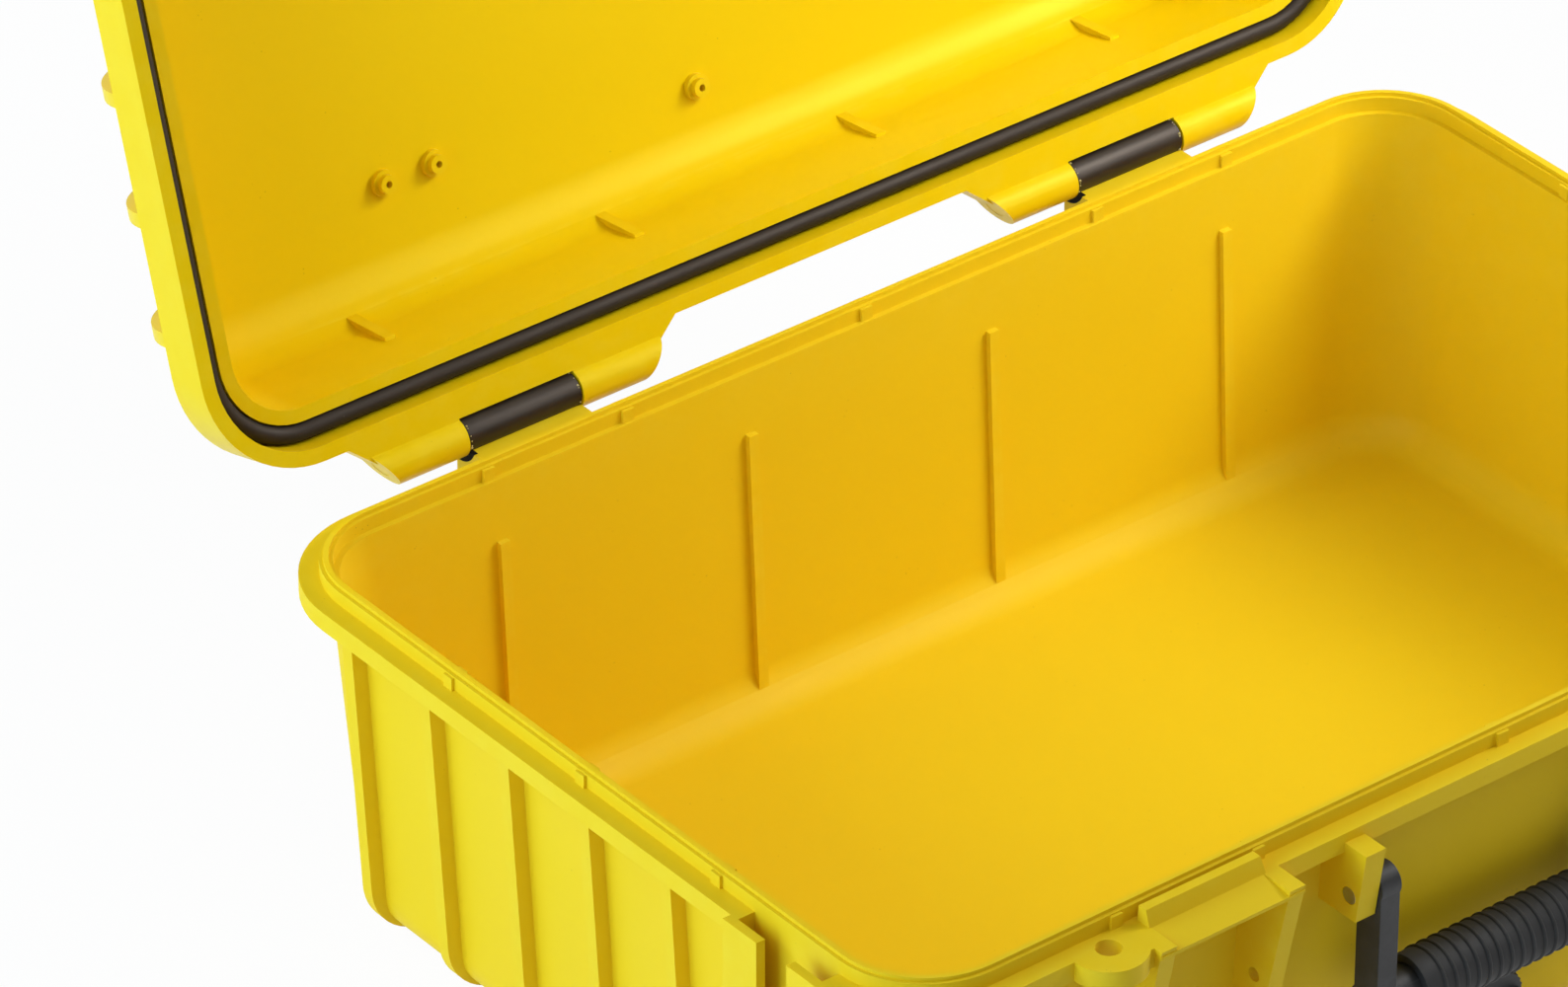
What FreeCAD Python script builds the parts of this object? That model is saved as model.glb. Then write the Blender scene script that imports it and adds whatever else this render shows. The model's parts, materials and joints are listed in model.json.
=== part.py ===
"""Hard protective case, shown with its lid open.

The base stands on the plane Z = 0 with the origin under its middle.  X runs along the case, Y runs
from the latches at the front to the hinges at the back, and Z is up.  Everything that the lid carries
is modelled with the lid shut and is then turned about the hinge to the open pose.
"""
import FreeCAD, Part
import os
import re

# Driving sizes in millimetres and degrees: name, value, meaning
SIZES = (
    ("flange_length", 488.6, "base flange, end to end"),
    ("flange_width", 333.2, "base flange, front to back"),
    ("flange_corner", 40.0, "plan radius of the flange corners"),
    ("flange_thickness", 7.0, "height of the base flange edge"),
    ("base_height", 130.8, "bottom to the top of the base flange"),
    ("lid_height", 61.2, "base flange top to the outside of the lid"),
    ("lid_flange_height", 17.5, "height of the lid skirt"),
    ("seat_gap", 0.3, "gap between the shut lid and the base"),
    ("wall_inset", 9.8, "flange edge to the outside of the base wall"),
    ("lid_wall_inset", 13.8, "skirt edge to the outside of the lid wall"),
    ("wall_thickness", 3.4, "side walls"),
    ("wall_lean", 7.0, "lean of the base walls from flange to bottom"),
    ("lid_lean", 3.4, "lean of the lid walls from skirt to roof"),
    ("floor_thickness", 4.0, "base floor and lid roof"),
    ("bottom_radius", 18.0, "outer edge round the bottom"),
    ("floor_radius", 14.0, "inner edge round the floor"),
    ("roof_radius", 22.0, "outer edge round the lid roof"),
    ("roof_inner_radius", 18.0, "inner edge round the lid roof"),
    ("tongue_inset", 6.7, "flange edge to the tongue"),
    ("tongue_thickness", 4.4, "sealing tongue"),
    ("tongue_height", 6.4, "tongue above the flange"),
    ("tongue_step", 1.3, "lower step along each side of the tongue, in and down"),
    ("tongue_clear", 1.4, "room on each side of the tongue in the lid"),
    ("nub_width", 4.5, "locating nubs on the tongue"),
    ("nub_proud", 1.1, "nub beyond each face of the tongue"),
    ("nub_height", 4.6, "nub above the flange"),
    ("nub_corner", 156.8, "outer nubs of the long sides, from the centre"),
    ("nub_inner", 100.0, "inner nubs of the long sides, from the centre"),
    ("nub_end", 68.0, "outer nubs of the ends, from the centre"),
    ("lip_rise", 8.2, "base flange to the edge of the lid's inner lip"),
    ("gasket_radius", 3.15, "round rubber cord"),
    ("gasket_gap", 0.25, "cord to the tongue"),
    ("gasket_seat", 0.05, "cord to the roof of its groove"),
    ("rib_depth", 5.3, "outside ribs, off the wall"),
    ("rib_width", 5.0, "outside ribs"),
    ("rib_pitch", 41.15, "outside ribs, middle to middle"),
    ("side_rib_middle", 38.5, "middle one of the ribs on each end, behind the centre"),
    ("corner_rib", 186.0, "outside ribs near the corners, from the centre"),
    ("front_rib", 89.0, "outside ribs between handle and latches, from the centre"),
    ("inner_rib_pitch", 102.7, "ribs inside the long walls"),
    ("inner_rib_width", 4.0, "ribs inside the long walls"),
    ("inner_rib_depth", 2.2, "ribs inside the long walls"),
    ("inner_rib_drop", 22.8, "base flange down to the top of the inner ribs"),
    ("lid_rib_rise", 28.8, "base flange up to the tips of the lid's inner ribs"),
    ("lid_rib_depth", 2.6, "ribs inside the long walls of the lid"),
    ("boss_radius", 4.6, "bosses inside the lid roof"),
    ("boss_neck", 3.2, "upper step of a boss"),
    ("boss_height", 4.2, "bosses inside the lid roof"),
    ("boss_hole", 1.2, "pilot hole radius in a boss"),
    ("boss_pair_place", 117.8, "middle of the boss pair from the centre"),
    ("boss_pair_pitch", 20.4, "between the two bosses of a pair"),
    ("boss_pair_back", 107.0, "boss pair behind the centre"),
    ("boss_single_back", 117.0, "single boss behind the centre"),
    ("strap_middle", 106.5, "strap channel in front of the centre"),
    ("strap_width", 47.6, "strap channel housing"),
    ("strap_proud", 3.1, "strap channel housing beyond the flange"),
    ("strap_plate", 3.4, "plates and end walls of the strap channel"),
    ("strap_slot", 14.6, "gap between the two plates"),
    ("strap_depth", 66.0, "depth of the channel below the flange top"),
    ("strap_floor", 4.0, "floor under the channel"),
    ("hinge_place", 128.6, "middle of each hinge from the centre"),
    ("hinge_setback", 11.4, "hinge axis behind the flange"),
    ("hinge_rise", 3.2, "hinge axis above the base flange"),
    ("hinge_length", 99.4, "lid hinge flap along the axis, at its free edge"),
    ("hinge_flare", 14.4, "extra half length of the flap where it meets the skirt"),
    ("hinge_root", 5.0, "depth and extra half length of the flap's root"),
    ("hinge_web_inset", 9.0, "web above the flap, in from the flap's free ends"),
    ("hinge_web_rise", 24.0, "hinge axis to the top of the web"),
    ("hinge_gap", 46.6, "gap between the two lid knuckles"),
    ("hinge_side_gap", 0.4, "side play beside the bush"),
    ("knuckle_radius", 6.9, "lid knuckles"),
    ("bush_radius", 6.3, "bush in the middle of the hinge"),
    ("bush_clear", 0.5, "room between the bush and the lid flap"),
    ("cradle_drop", 18.0, "hinge axis to the underside of the base cradle"),
    ("cradle_back", 1.2, "back of the cradle behind the hinge axis"),
    ("hinge_pin_radius", 3.0, "steel hinge pins"),
    ("running_fit", 0.05, "radial room of a turning pin"),
    ("seat_fit", 0.02, "radial room of a fixed pin"),
    ("open_angle", 106.0, "lid swing from shut to open"),
    ("latch_place", 126.0, "middle of each latch from the centre"),
    ("bay_width", 45.0, "latch bay between its pillars"),
    ("pillar_thickness", 6.2, "pillars beside the latch bay"),
    ("pillar_foot", 11.0, "foot of the pillars in front of the flange line's inset wall"),
    ("pillar_drop", 88.0, "flange top to the foot of the base pillars"),
    ("plate_reach", 12.9, "catch plate in front of the flange"),
    ("plate_thickness", 3.0, "catch plate at the flange"),
    ("plate_edge", 1.2, "catch plate at its front edge"),
    ("strike_length", 47.0, "locating wedge on the flange"),
    ("strike_gap", 1.6, "tongue to the wedge"),
    ("strike_base", 6.6, "wedge, front to back at the flange"),
    ("strike_top", 3.4, "wedge, front to back at its top"),
    ("strike_draft", 0.7, "lean of the wedge's ends"),
    ("strike_height", 5.2, "wedge above the flange"),
    ("strike_clear", 0.5, "room round the wedge in the lid"),
    ("detent_radius", 2.5, "detent holes in the bay pillars"),
    ("detent_drop", 39.8, "flange top down to the detent holes"),
    ("detent_front", 2.6, "flange edge back to the detent holes"),
    ("lobe_place", 165.4, "padlock eyes from the centre"),
    ("lobe_front", 0.6, "padlock hole in front of the flange edge"),
    ("lobe_radius", 12.8, "padlock eyes"),
    ("lobe_web", 9.5, "web between eye and pillar, in front of the flange edge"),
    ("padlock_radius", 4.3, "padlock holes"),
    ("shackle_clear", 0.3, "room beside a shackle in the lid's skirt"),
    ("latch_rise", 12.0, "flange top up to the latch pin"),
    ("latch_front", 2.5, "latch pin in front of the catch plate"),
    ("latch_pin_radius", 2.0, "latch pins"),
    ("latch_barrel", 5.0, "latch barrel radius"),
    ("latch_side_gap", 0.6, "latch to the pillar on each side"),
    ("latch_skin", 5.2, "front plate of the latch"),
    ("latch_plate_gap", 0.7, "latch to the edge of the catch plate"),
    ("latch_tail", 58.0, "flange top down to the end of the latch"),
    ("latch_hook_gap", 0.4, "hook to the underside of the catch plate"),
    ("latch_hook_reach", 7.0, "hook behind the edge of the catch plate"),
    ("latch_hook_depth", 7.0, "height of the hook"),
    ("latch_cheek", 3.0, "cheeks of the latch"),
    ("latch_bump", 0.5, "detent bumps on the cheeks"),
    ("bump_clear", 0.4, "radial room of a detent bump in its hole"),
    ("latch_lip", 4.0, "finger lip at the end of the latch"),
    ("latch_lip_length", 30.0, "finger lip at the end of the latch"),
    ("latch_lip_edge", 0.2, "finger lip where it runs out on the plate"),
    ("latch_angle", 150.0, "latch swing from hooked to open"),
    ("lid_pillar_rise", 36.0, "flange top up to the top of the lid pillars"),
    ("handle_span", 124.0, "between the inner faces of the handle lugs"),
    ("lug_thickness", 8.0, "handle lugs"),
    ("lug_height", 27.0, "handle lugs"),
    ("lug_front", 10.0, "lug front before the flange edge"),
    ("lug_draft", 4.0, "how far the lug front leans back towards its foot"),
    ("handle_drop", 22.0, "flange top down to the handle pins"),
    ("handle_front", 2.6, "handle pins in front of the flange edge"),
    ("handle_pin_radius", 3.0, "handle pins"),
    ("handle_barrel", 6.2, "eyes of the handle arms"),
    ("handle_arm", 8.0, "handle arms along the pin"),
    ("handle_depth", 11.0, "handle arms, front to back"),
    ("handle_side_gap", 0.5, "arm to the lug"),
    ("handle_reach", 46.0, "handle pin to the middle of the grip bar"),
    ("bar_radius", 7.5, "grip bar"),
    ("grip_radius", 10.5, "soft grip"),
    ("grip_length", 88.0, "soft grip"),
    ("grip_fit", 0.03, "grip on its bar"),
    ("valve_height", 28.8, "valve up to the middle of the grip bar"),
    ("valve_boss_radius", 15.0, "boss round the valve"),
    ("valve_face", 12.2, "flange edge back to the flat face of the valve boss"),
    ("valve_boss_depth", 9.0, "outer to inner flat face of the valve boss"),
    ("valve_neck", 8.0, "neck of the valve body"),
    ("valve_collar", 13.0, "collar of the valve body"),
    ("valve_collar_depth", 3.0, "collar of the valve body"),
    ("valve_washer_depth", 1.2, "flat washer under the collar"),
    ("valve_stem", 4.0, "stem of the valve knob"),
    ("valve_stem_length", 9.0, "stem of the valve knob inside the body"),
    ("valve_stem_room", 1.0, "room between the end of the stem and the closed end of its bore"),
    ("valve_knob", 10.0, "valve knob"),
    ("valve_knob_depth", 7.0, "valve knob"),
    ("valve_wing", 3.6, "thickness of the finger bar on the knob"),
    ("valve_wing_length", 17.0, "length of the finger bar on the knob"),
    ("valve_seal", 1.0, "section radius of the ring seal"),
    ("valve_seal_ring", 6.2, "middle radius of the ring seal"),
    ("valve_seal_room", 0.1, "play on each side of the ring seal"),
    ("valve_nut", 12.0, "nut inside the wall"),
    ("valve_nut_depth", 4.5, "nut inside the wall"),
    ("overlap", 2.0, "how far joined shapes reach into each other"),
    ("spare", 1.0, "how far a cut runs past what it cuts"),
)
NAMES = {name: value for name, value, _ in SIZES}
WORD = re.compile(r"[a-z][a-z_]*")

doc = FreeCAD.newDocument("HardCase")
sheet = doc.addObject("Spreadsheet::Sheet", "Sizes")
for row, (name, value, meaning) in enumerate(SIZES, start=1):
    sheet.set(f"A{row}", name)
    sheet.set(f"B{row}", str(value))
    sheet.set(f"C{row}", meaning)
    sheet.setAlias(f"B{row}", name)
doc.recompute()

# Places that several pieces share, as formulas in the sizes
RIM = "base_height"
HALF_LENGTH = "(flange_length / 2)"
HALF_WIDTH = "(flange_width / 2)"
HINGE_Y = "(flange_width / 2 + hinge_setback)"
HINGE_Z = "(base_height + hinge_rise)"
PLATE_Y = "(flange_width / 2 + plate_reach)"
LATCH_Y = f"({PLATE_Y} + latch_front)"
LATCH_Z = "(base_height + latch_rise)"
LID_Z = "(base_height + seat_gap)"
LID_TOP = "(base_height + lid_height)"
TONGUE_LENGTH = "(flange_length - 2 * tongue_inset)"
TONGUE_WIDTH = "(flange_width - 2 * tongue_inset)"
GASKET_Z = "(base_height + tongue_height + gasket_gap + gasket_radius)"
HANDLE_Y = "(flange_width / 2 + handle_front)"
HANDLE_Z = "(base_height - handle_drop)"
BAR_Z = f"({HANDLE_Z} - handle_reach)"
VALVE_Y = "(flange_width / 2 - valve_face)"
VALVE_Z = f"({BAR_Z} - valve_height)"
DETENT_Y = "(flange_width / 2 - detent_front)"


def formula(text):
    """Turn a formula in plain size names into one that reads the sheet."""
    return WORD.sub(lambda word: f"Sizes.{word.group()}" if word.group() in NAMES else word.group(),
                    str(text))


def bind(obj, **formulas):
    """Tie properties of an object to formulas in the sizes."""
    for prop, text in formulas.items():
        obj.setExpression(prop, formula(text))
    return obj


def put(obj, x, y, z):
    """Tie the place of an object to three formulas."""
    for axis, text in zip("xyz", (x, y, z)):
        obj.setExpression(f"Placement.Base.{axis}", formula(text))
    return obj


def about(middle, width):
    """Give the two ends of a stretch of some width about its middle."""
    return f"({middle}) - ({width}) / 2", f"({middle}) + ({width}) / 2"


def block(name, x, y, z):
    """Make a box from three pairs of ends."""
    box = doc.addObject("Part::Box", name)
    bind(box, Length=f"({x[1]}) - ({x[0]})", Width=f"({y[1]}) - ({y[0]})", Height=f"({z[1]}) - ({z[0]})")
    return put(box, x[0], y[0], z[0])


TURNS = {
    "x": FreeCAD.Rotation(FreeCAD.Vector(0, 1, 0), 90),
    "y": FreeCAD.Rotation(FreeCAD.Vector(1, 0, 0), -90),
    "z": FreeCAD.Rotation(),
}


def rod(name, axis, start, radius, length):
    """Make a cylinder that leaves its start point along +X, +Y or +Z."""
    cylinder = doc.addObject("Part::Cylinder", name)
    cylinder.Placement = FreeCAD.Placement(FreeCAD.Vector(), TURNS[axis])
    return put(bind(cylinder, Radius=radius, Height=length), *start)


def taper(name, low, high):
    """Make a box whose top differs from its bottom: each is an x pair, a y pair and a height."""
    wedge = doc.addObject("Part::Wedge", name)
    wedge.Placement = FreeCAD.Placement(FreeCAD.Vector(), FreeCAD.Rotation(FreeCAD.Vector(1, 0, 0), 90))
    (x, y, z), (top_x, top_y, top_z) = low, high
    return bind(wedge, Xmin=x[0], Xmax=x[1], Zmin=f"-({y[1]})", Zmax=f"-({y[0]})", Ymin=z,
                X2min=top_x[0], X2max=top_x[1], Z2min=f"-({top_y[1]})", Z2max=f"-({top_y[0]})", Ymax=top_z)


def flare(name, front, back):
    """Make a box whose back differs from its front: each is an x pair, a y place and a z pair."""
    wedge = doc.addObject("Part::Wedge", name)
    (x, y, z), (back_x, back_y, back_z) = front, back
    return bind(wedge, Xmin=x[0], Xmax=x[1], Ymin=y, Zmin=z[0], Zmax=z[1],
                X2min=back_x[0], X2max=back_x[1], Ymax=back_y, Z2min=back_z[0], Z2max=back_z[1])


def fuse(name, *shapes):
    """Join shapes into one."""
    joined = doc.addObject("Part::MultiFuse", name)
    joined.Shapes = list(shapes)
    joined.Refine = True
    return joined


def cut(name, base, *tools):
    """Take tools away from a base shape."""
    result = doc.addObject("Part::Cut", name)
    result.Base = base
    result.Tool = tools[0] if len(tools) == 1 else fuse(f"{name}_tools", *tools)
    return result


def common(name, first, second):
    """Keep what two shapes share."""
    shared = doc.addObject("Part::Common", name)
    shared.Base = first
    shared.Tool = second
    return shared


def mirrored(name, source):
    """Copy a shape from the right side to the left."""
    copy = doc.addObject("Part::Mirroring", name)
    copy.Source = source
    copy.Base = FreeCAD.Vector()
    copy.Normal = FreeCAD.Vector(1, 0, 0)
    return copy


def both(name, source):
    """Join a shape on the right with its mirror image on the left."""
    return fuse(name, source, mirrored(f"{name}_left", source))


def ends(edge, axis):
    """Give the coordinates of an edge's ends along one axis."""
    return [getattr(vertex.Point, axis) for vertex in edge.Vertexes]


STEEP = 0.8
LEVEL = 1e-4


def upright(edge):
    """Say whether an edge climbs rather than lies flat."""
    heights = ends(edge, "z")
    return max(heights) - min(heights) > STEEP * edge.Length


def at_height(height):
    """Make a test for edges that lie at one height."""
    return lambda edge: all(abs(z - height) < LEVEL for z in ends(edge, "z"))


def rounded(name, base, chosen, radius):
    """Round the chosen edges of a shape."""
    doc.recompute()
    fillet = doc.addObject("Part::Fillet", name)
    fillet.Base = base
    fillet.Edges = [(number, radius, radius) for number, edge in enumerate(base.Shape.Edges, start=1)
                    if chosen(edge)]
    return fillet


def slab(name, inset, z):
    """Make a flat block in the outline of the flange, drawn in by an inset, with round corners."""
    plain = block(f"{name}_block", about(0, f"flange_length - 2 * ({inset})"),
                  about(0, f"flange_width - 2 * ({inset})"), z)
    doc.recompute()
    radius = NAMES["flange_corner"] - (NAMES["flange_length"] - plain.Length.Value) / 2
    return rounded(name, plain, upright, radius)


def tub(name, inset, low, high, edge_height, edge_radius):
    """Make a leaning tub: low and high give a height and how far its walls are drawn in there."""
    rings = [(about(0, f"flange_length - 2 * ({inset} + {lean})"),
              about(0, f"flange_width - 2 * ({inset} + {lean})"), height) for height, lean in (low, high)]
    plain = taper(f"{name}_taper", *rings)
    doc.recompute()
    widest = max(plain.Xmax.Value, plain.X2max.Value)
    radius = NAMES["flange_corner"] - (NAMES["flange_length"] / 2 - widest)
    corners = rounded(f"{name}_corners", plain, upright, radius)
    return rounded(name, corners, at_height(edge_height), edge_radius)


def finish(obj, label, placement=None):
    """Name a sub-part and turn it to its open pose."""
    obj.Label = label
    if placement is not None:
        obj.Placement = placement
    pieces.append(obj)
    return obj


pieces = []

# Base moulding: walls, floor and outside ribs
wall = tub("base_wall", "wall_inset", ("0", "wall_lean"), (RIM, "0"), 0.0, NAMES["bottom_radius"])
rib_form = tub("base_rib_form", "wall_inset - rib_depth", ("0", "wall_lean"),
               (f"{RIM} - flange_thickness / 2", "0"), 0.0, NAMES["bottom_radius"] + NAMES["rib_depth"])
hollow = tub("base_hollow", "wall_inset + wall_thickness",
             ("floor_thickness", "wall_lean * (1 - floor_thickness / base_height)"), (f"{RIM} + spare", "0"),
             NAMES["floor_thickness"], NAMES["floor_radius"])


def rib_slabs(name, z):
    """Make the slabs that outside ribs are cut from, all round the case."""
    slabs = []
    for step in range(-2, 3):
        slabs.append(block(f"{name}_end_{step + 2}", about(0, "flange_length"),
                           about(f"side_rib_middle + {step} * rib_pitch", "rib_width"), z))
        slabs.append(block(f"{name}_back_{step + 2}", about(f"{step} * rib_pitch", "rib_width"),
                           ("0", HALF_WIDTH), z))
    for side in (-1, 1):
        slabs.append(block(f"{name}_corner_{side + 1}", about(f"{side} * corner_rib", "rib_width"),
                           about(0, "flange_width"), z))
        slabs.append(block(f"{name}_front_{side + 1}", about(f"{side} * front_rib", "rib_width"),
                           (f"-{HALF_WIDTH}", "0"), z))
    return fuse(f"{name}_all", *slabs)


base_ribs = common("base_ribs", rib_form, rib_slabs("base_slab", ("0", f"{RIM} - flange_thickness / 2")))

# Flange, sealing tongue and locating nubs
flange = slab("flange", "0", (f"{RIM} - flange_thickness", RIM))
tongue_top = f"{RIM} + tongue_height"
tongue_low = slab("tongue_low", "tongue_inset", (f"{RIM} - overlap", f"{tongue_top} - tongue_step"))
tongue_crown = slab("tongue_crown", "tongue_inset + tongue_step", (RIM, tongue_top))
tongue = cut("tongue", fuse("tongue_form", tongue_low, tongue_crown),
             slab("tongue_inner", "tongue_inset + tongue_thickness",
                  (f"{RIM} - 2 * overlap", f"{tongue_top} + spare")),
             slab("tongue_shelf", "tongue_inset + tongue_thickness - tongue_step",
                  (f"{tongue_top} - tongue_step", f"{tongue_top} + spare")))
NUBS_LONG = ("-nub_corner", "-nub_inner", "0", "nub_inner", "nub_corner")
NUBS_SHORT = ("-nub_end", "0", "nub_end")
NUB_DEPTH = "tongue_thickness + 2 * nub_proud"
nub_z = (f"{RIM} - overlap", f"{RIM} + nub_height")
nubs = []
for side in (-1, 1):
    for number, place in enumerate(NUBS_LONG):
        nubs.append(block(f"nub_long_{side + 1}_{number}", about(place, "nub_width"),
                          about(f"{side} * ({TONGUE_WIDTH} - tongue_thickness) / 2", NUB_DEPTH), nub_z))
    for number, place in enumerate(NUBS_SHORT):
        nubs.append(block(f"nub_short_{side + 1}_{number}",
                          about(f"{side} * ({TONGUE_LENGTH} - tongue_thickness) / 2", NUB_DEPTH),
                          about(place, "nub_width"), nub_z))

# Strap channel at each end: two plates with a gap, open at the top
strap_x = (f"{HALF_LENGTH} - wall_inset - wall_lean", f"{HALF_LENGTH} + strap_proud")
strap_y = about("-strap_middle", "strap_width")
strap_low = f"{RIM} - strap_depth - strap_floor"
strap_body = taper("strap_body",
                   ((strap_x[0], f"{HALF_LENGTH} - wall_inset + strap_plate"), strap_y,
                    f"{strap_low} - strap_floor - strap_proud"),
                   (strap_x, strap_y, strap_low))
strap_wall = block("strap_wall", strap_x, strap_y, (strap_low, RIM))
strap_room = (f"{RIM} - strap_depth", f"{RIM} + spare")
strap_pocket = block("strap_pocket",
                     (f"{HALF_LENGTH} - tongue_inset", f"{HALF_LENGTH} + strap_proud - strap_plate"),
                     about("-strap_middle", "strap_width - 2 * strap_plate"), strap_room)
strap_gap = block("strap_gap", (f"{HALF_LENGTH} - tongue_inset", f"{HALF_LENGTH} + strap_proud + spare"),
                  about("-strap_middle", "strap_slot"), strap_room)

# Latch bay: pillars, catch plate, locating wedge, detent holes and the padlock eye
BAY = about("latch_place", "bay_width")
PILLARS = ((f"{BAY[0]} - pillar_thickness", BAY[0]), (BAY[1], f"{BAY[1]} + pillar_thickness"))
WALL_Y = f"({HALF_WIDTH} - wall_inset)"
LID_WALL_Y = f"({HALF_WIDTH} - lid_wall_inset)"
INSIDE_Y = f"-({WALL_Y} - wall_lean - wall_thickness)"
bay = []
for number, x in enumerate(PILLARS):
    bay.append(taper(f"bay_pillar_{number}",
                     (x, (f"-({WALL_Y} - wall_lean + pillar_foot)", INSIDE_Y), f"{RIM} - pillar_drop"),
                     (x, (f"-{PLATE_Y}", INSIDE_Y), RIM)))
BAY_OUTSIDE = (PILLARS[0][0], PILLARS[1][1])
PLATE_LOW = f"{RIM} - plate_thickness"
bay.append(flare("catch_plate", (BAY_OUTSIDE, f"-{PLATE_Y}", (PLATE_LOW, f"{PLATE_LOW} + plate_edge")),
                 (BAY_OUTSIDE, f"-{HALF_WIDTH}", (PLATE_LOW, RIM))))
STRIKE_Y = f"-({TONGUE_WIDTH} / 2 + strike_gap)"
bay.append(taper("strike",
                 (about("latch_place", "strike_length"), (f"{STRIKE_Y} - strike_base", STRIKE_Y),
                  f"{RIM} - overlap"),
                 (about("latch_place", "strike_length - 2 * strike_draft"),
                  (f"{STRIKE_Y} - strike_top", STRIKE_Y), f"{RIM} + strike_height")))
LOBE = ("lobe_place", f"-({HALF_WIDTH} + lobe_front)")
flange_z = (f"{RIM} - flange_thickness", RIM)
bay.append(rod("padlock_lobe", "z", (*LOBE, flange_z[0]), "lobe_radius", "flange_thickness"))
LOBE_WEB = ((f"{BAY[1]} + pillar_thickness / 2", "lobe_place - padlock_radius"),
            (f"-({HALF_WIDTH} + lobe_web)", f"-{HALF_WIDTH} + overlap"))
bay.append(block("lobe_web_block", *LOBE_WEB, flange_z))
padlock_hole = rod("padlock_hole", "z", (*LOBE, f"{flange_z[0]} - spare"), "padlock_radius",
                   "flange_thickness + 2 * spare")
BAY_THROUGH = "bay_width + 2 * pillar_thickness + 2 * spare"
detent_holes = rod("detent_holes", "x",
                   (f"{BAY_OUTSIDE[0]} - spare", f"-{DETENT_Y}", f"{RIM} - detent_drop"),
                   "detent_radius", BAY_THROUGH)
bay_clearing = block("bay_clearing", BAY, (f"-{PLATE_Y} - spare", f"-{WALL_Y}"),
                     (f"{flange_z[0]} - spare", PLATE_LOW))

# Hinge cradle under the bush, and the lugs for the carrying handle
CRADLE_X = about("hinge_place", "hinge_gap - 2 * hinge_side_gap")
cradle_z = f"{HINGE_Z} - cradle_drop"
CRADLE_BACK = f"{HINGE_Y} + cradle_back"
cradle = taper("cradle",
               (CRADLE_X, (f"{WALL_Y} - wall_lean", f"{WALL_Y} + overlap"), f"{cradle_z} - cradle_drop"),
               (CRADLE_X, (f"{WALL_Y} - wall_lean", CRADLE_BACK), cradle_z))
cradle_top = block("cradle_top", CRADLE_X, (WALL_Y, CRADLE_BACK), (cradle_z, RIM))
trough = rod("trough", "x", (f"{CRADLE_X[0]} - spare", HINGE_Y, HINGE_Z), "bush_radius + seat_fit",
             "hinge_gap + 2 * spare")
LUG_X = ("handle_span / 2", "handle_span / 2 + lug_thickness")
LUG_FRONT = f"({HALF_WIDTH} + lug_front)"
lug_back = f"-{WALL_Y} + wall_lean"
lug_top = f"{RIM} - flange_thickness / 2"
lug = taper("lug", (LUG_X, (f"-{LUG_FRONT} + lug_draft", lug_back), f"{lug_top} - lug_height"),
            (LUG_X, (f"-{LUG_FRONT}", lug_back), lug_top))
lug_hole = rod("lug_hole", "x", (f"{LUG_X[0]} - spare", f"-{HANDLE_Y}", HANDLE_Z),
               "handle_pin_radius + seat_fit", "lug_thickness + 2 * spare")

# Ribs inside the long walls, and the flat boss that the valve clamps on
RIB_STEPS = (-1.5, -0.5, 0.5, 1.5)
inner_ribs = []
for side in (-1, 1):
    for number, step in enumerate(RIB_STEPS):
        place = f"{step} * inner_rib_pitch"
        near, far = f"{WALL_Y} - wall_thickness - inner_rib_depth", f"{WALL_Y} - wall_thickness / 2"
        deep = "wall_lean * (1 - floor_thickness / base_height)"
        part_way = "wall_lean * inner_rib_drop / base_height"
        low = (f"{near} - {deep}", f"{far} - {deep}")
        high = (f"{near} - {part_way}", f"{far} - {part_way}")
        if side < 0:
            low, high = [tuple(f"-({end})" for end in reversed(pair)) for pair in (low, high)]
        inner_ribs.append(taper(f"inner_rib_{side + 1}_{number}",
                                (about(place, "inner_rib_width"), low, "floor_thickness"),
                                (about(place, "inner_rib_width"), high, f"{RIM} - inner_rib_drop")))
valve_boss = rod("valve_boss", "y", ("0", f"-{VALVE_Y}", VALVE_Z), "valve_boss_radius", "valve_boss_depth")
valve_hole = rod("valve_hole", "y", ("0", f"-{VALVE_Y} - spare", VALVE_Z), "valve_neck + seat_fit",
                 "valve_boss_depth + 2 * spare")

# The tub is hollowed by itself, and what stands on its outside reaches half way into the wall
fittings = fuse("base_fittings", strap_body, strap_wall, *bay, cradle, cradle_top, lug)
tub_shell = cut("tub_shell", fuse("tub_solid", wall, flange), hollow)
wall_core = tub("wall_core", "wall_inset + wall_thickness / 2", ("0", "wall_lean"), (f"{RIM} + spare", "0"),
                0.0, NAMES["bottom_radius"])
outer_ribs = cut("outer_ribs", base_ribs, wall_core)
outer_fittings = cut("outer_fittings", both("base_fittings_both", fittings), wall_core)
solid_base = fuse("base_solid", tub_shell, outer_ribs, outer_fittings)
openings = fuse("base_openings", strap_pocket, strap_gap, padlock_hole, detent_holes, bay_clearing, trough,
                lug_hole)
open_base = cut("base_open", solid_base, both("base_openings_both", openings))
base_dressed = fuse("base_dressed", open_base, tongue, valve_boss, *nubs, *inner_ribs)
base_shell = cut("base_shell", base_dressed, valve_hole)
finish(base_shell, "base_shell")

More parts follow.
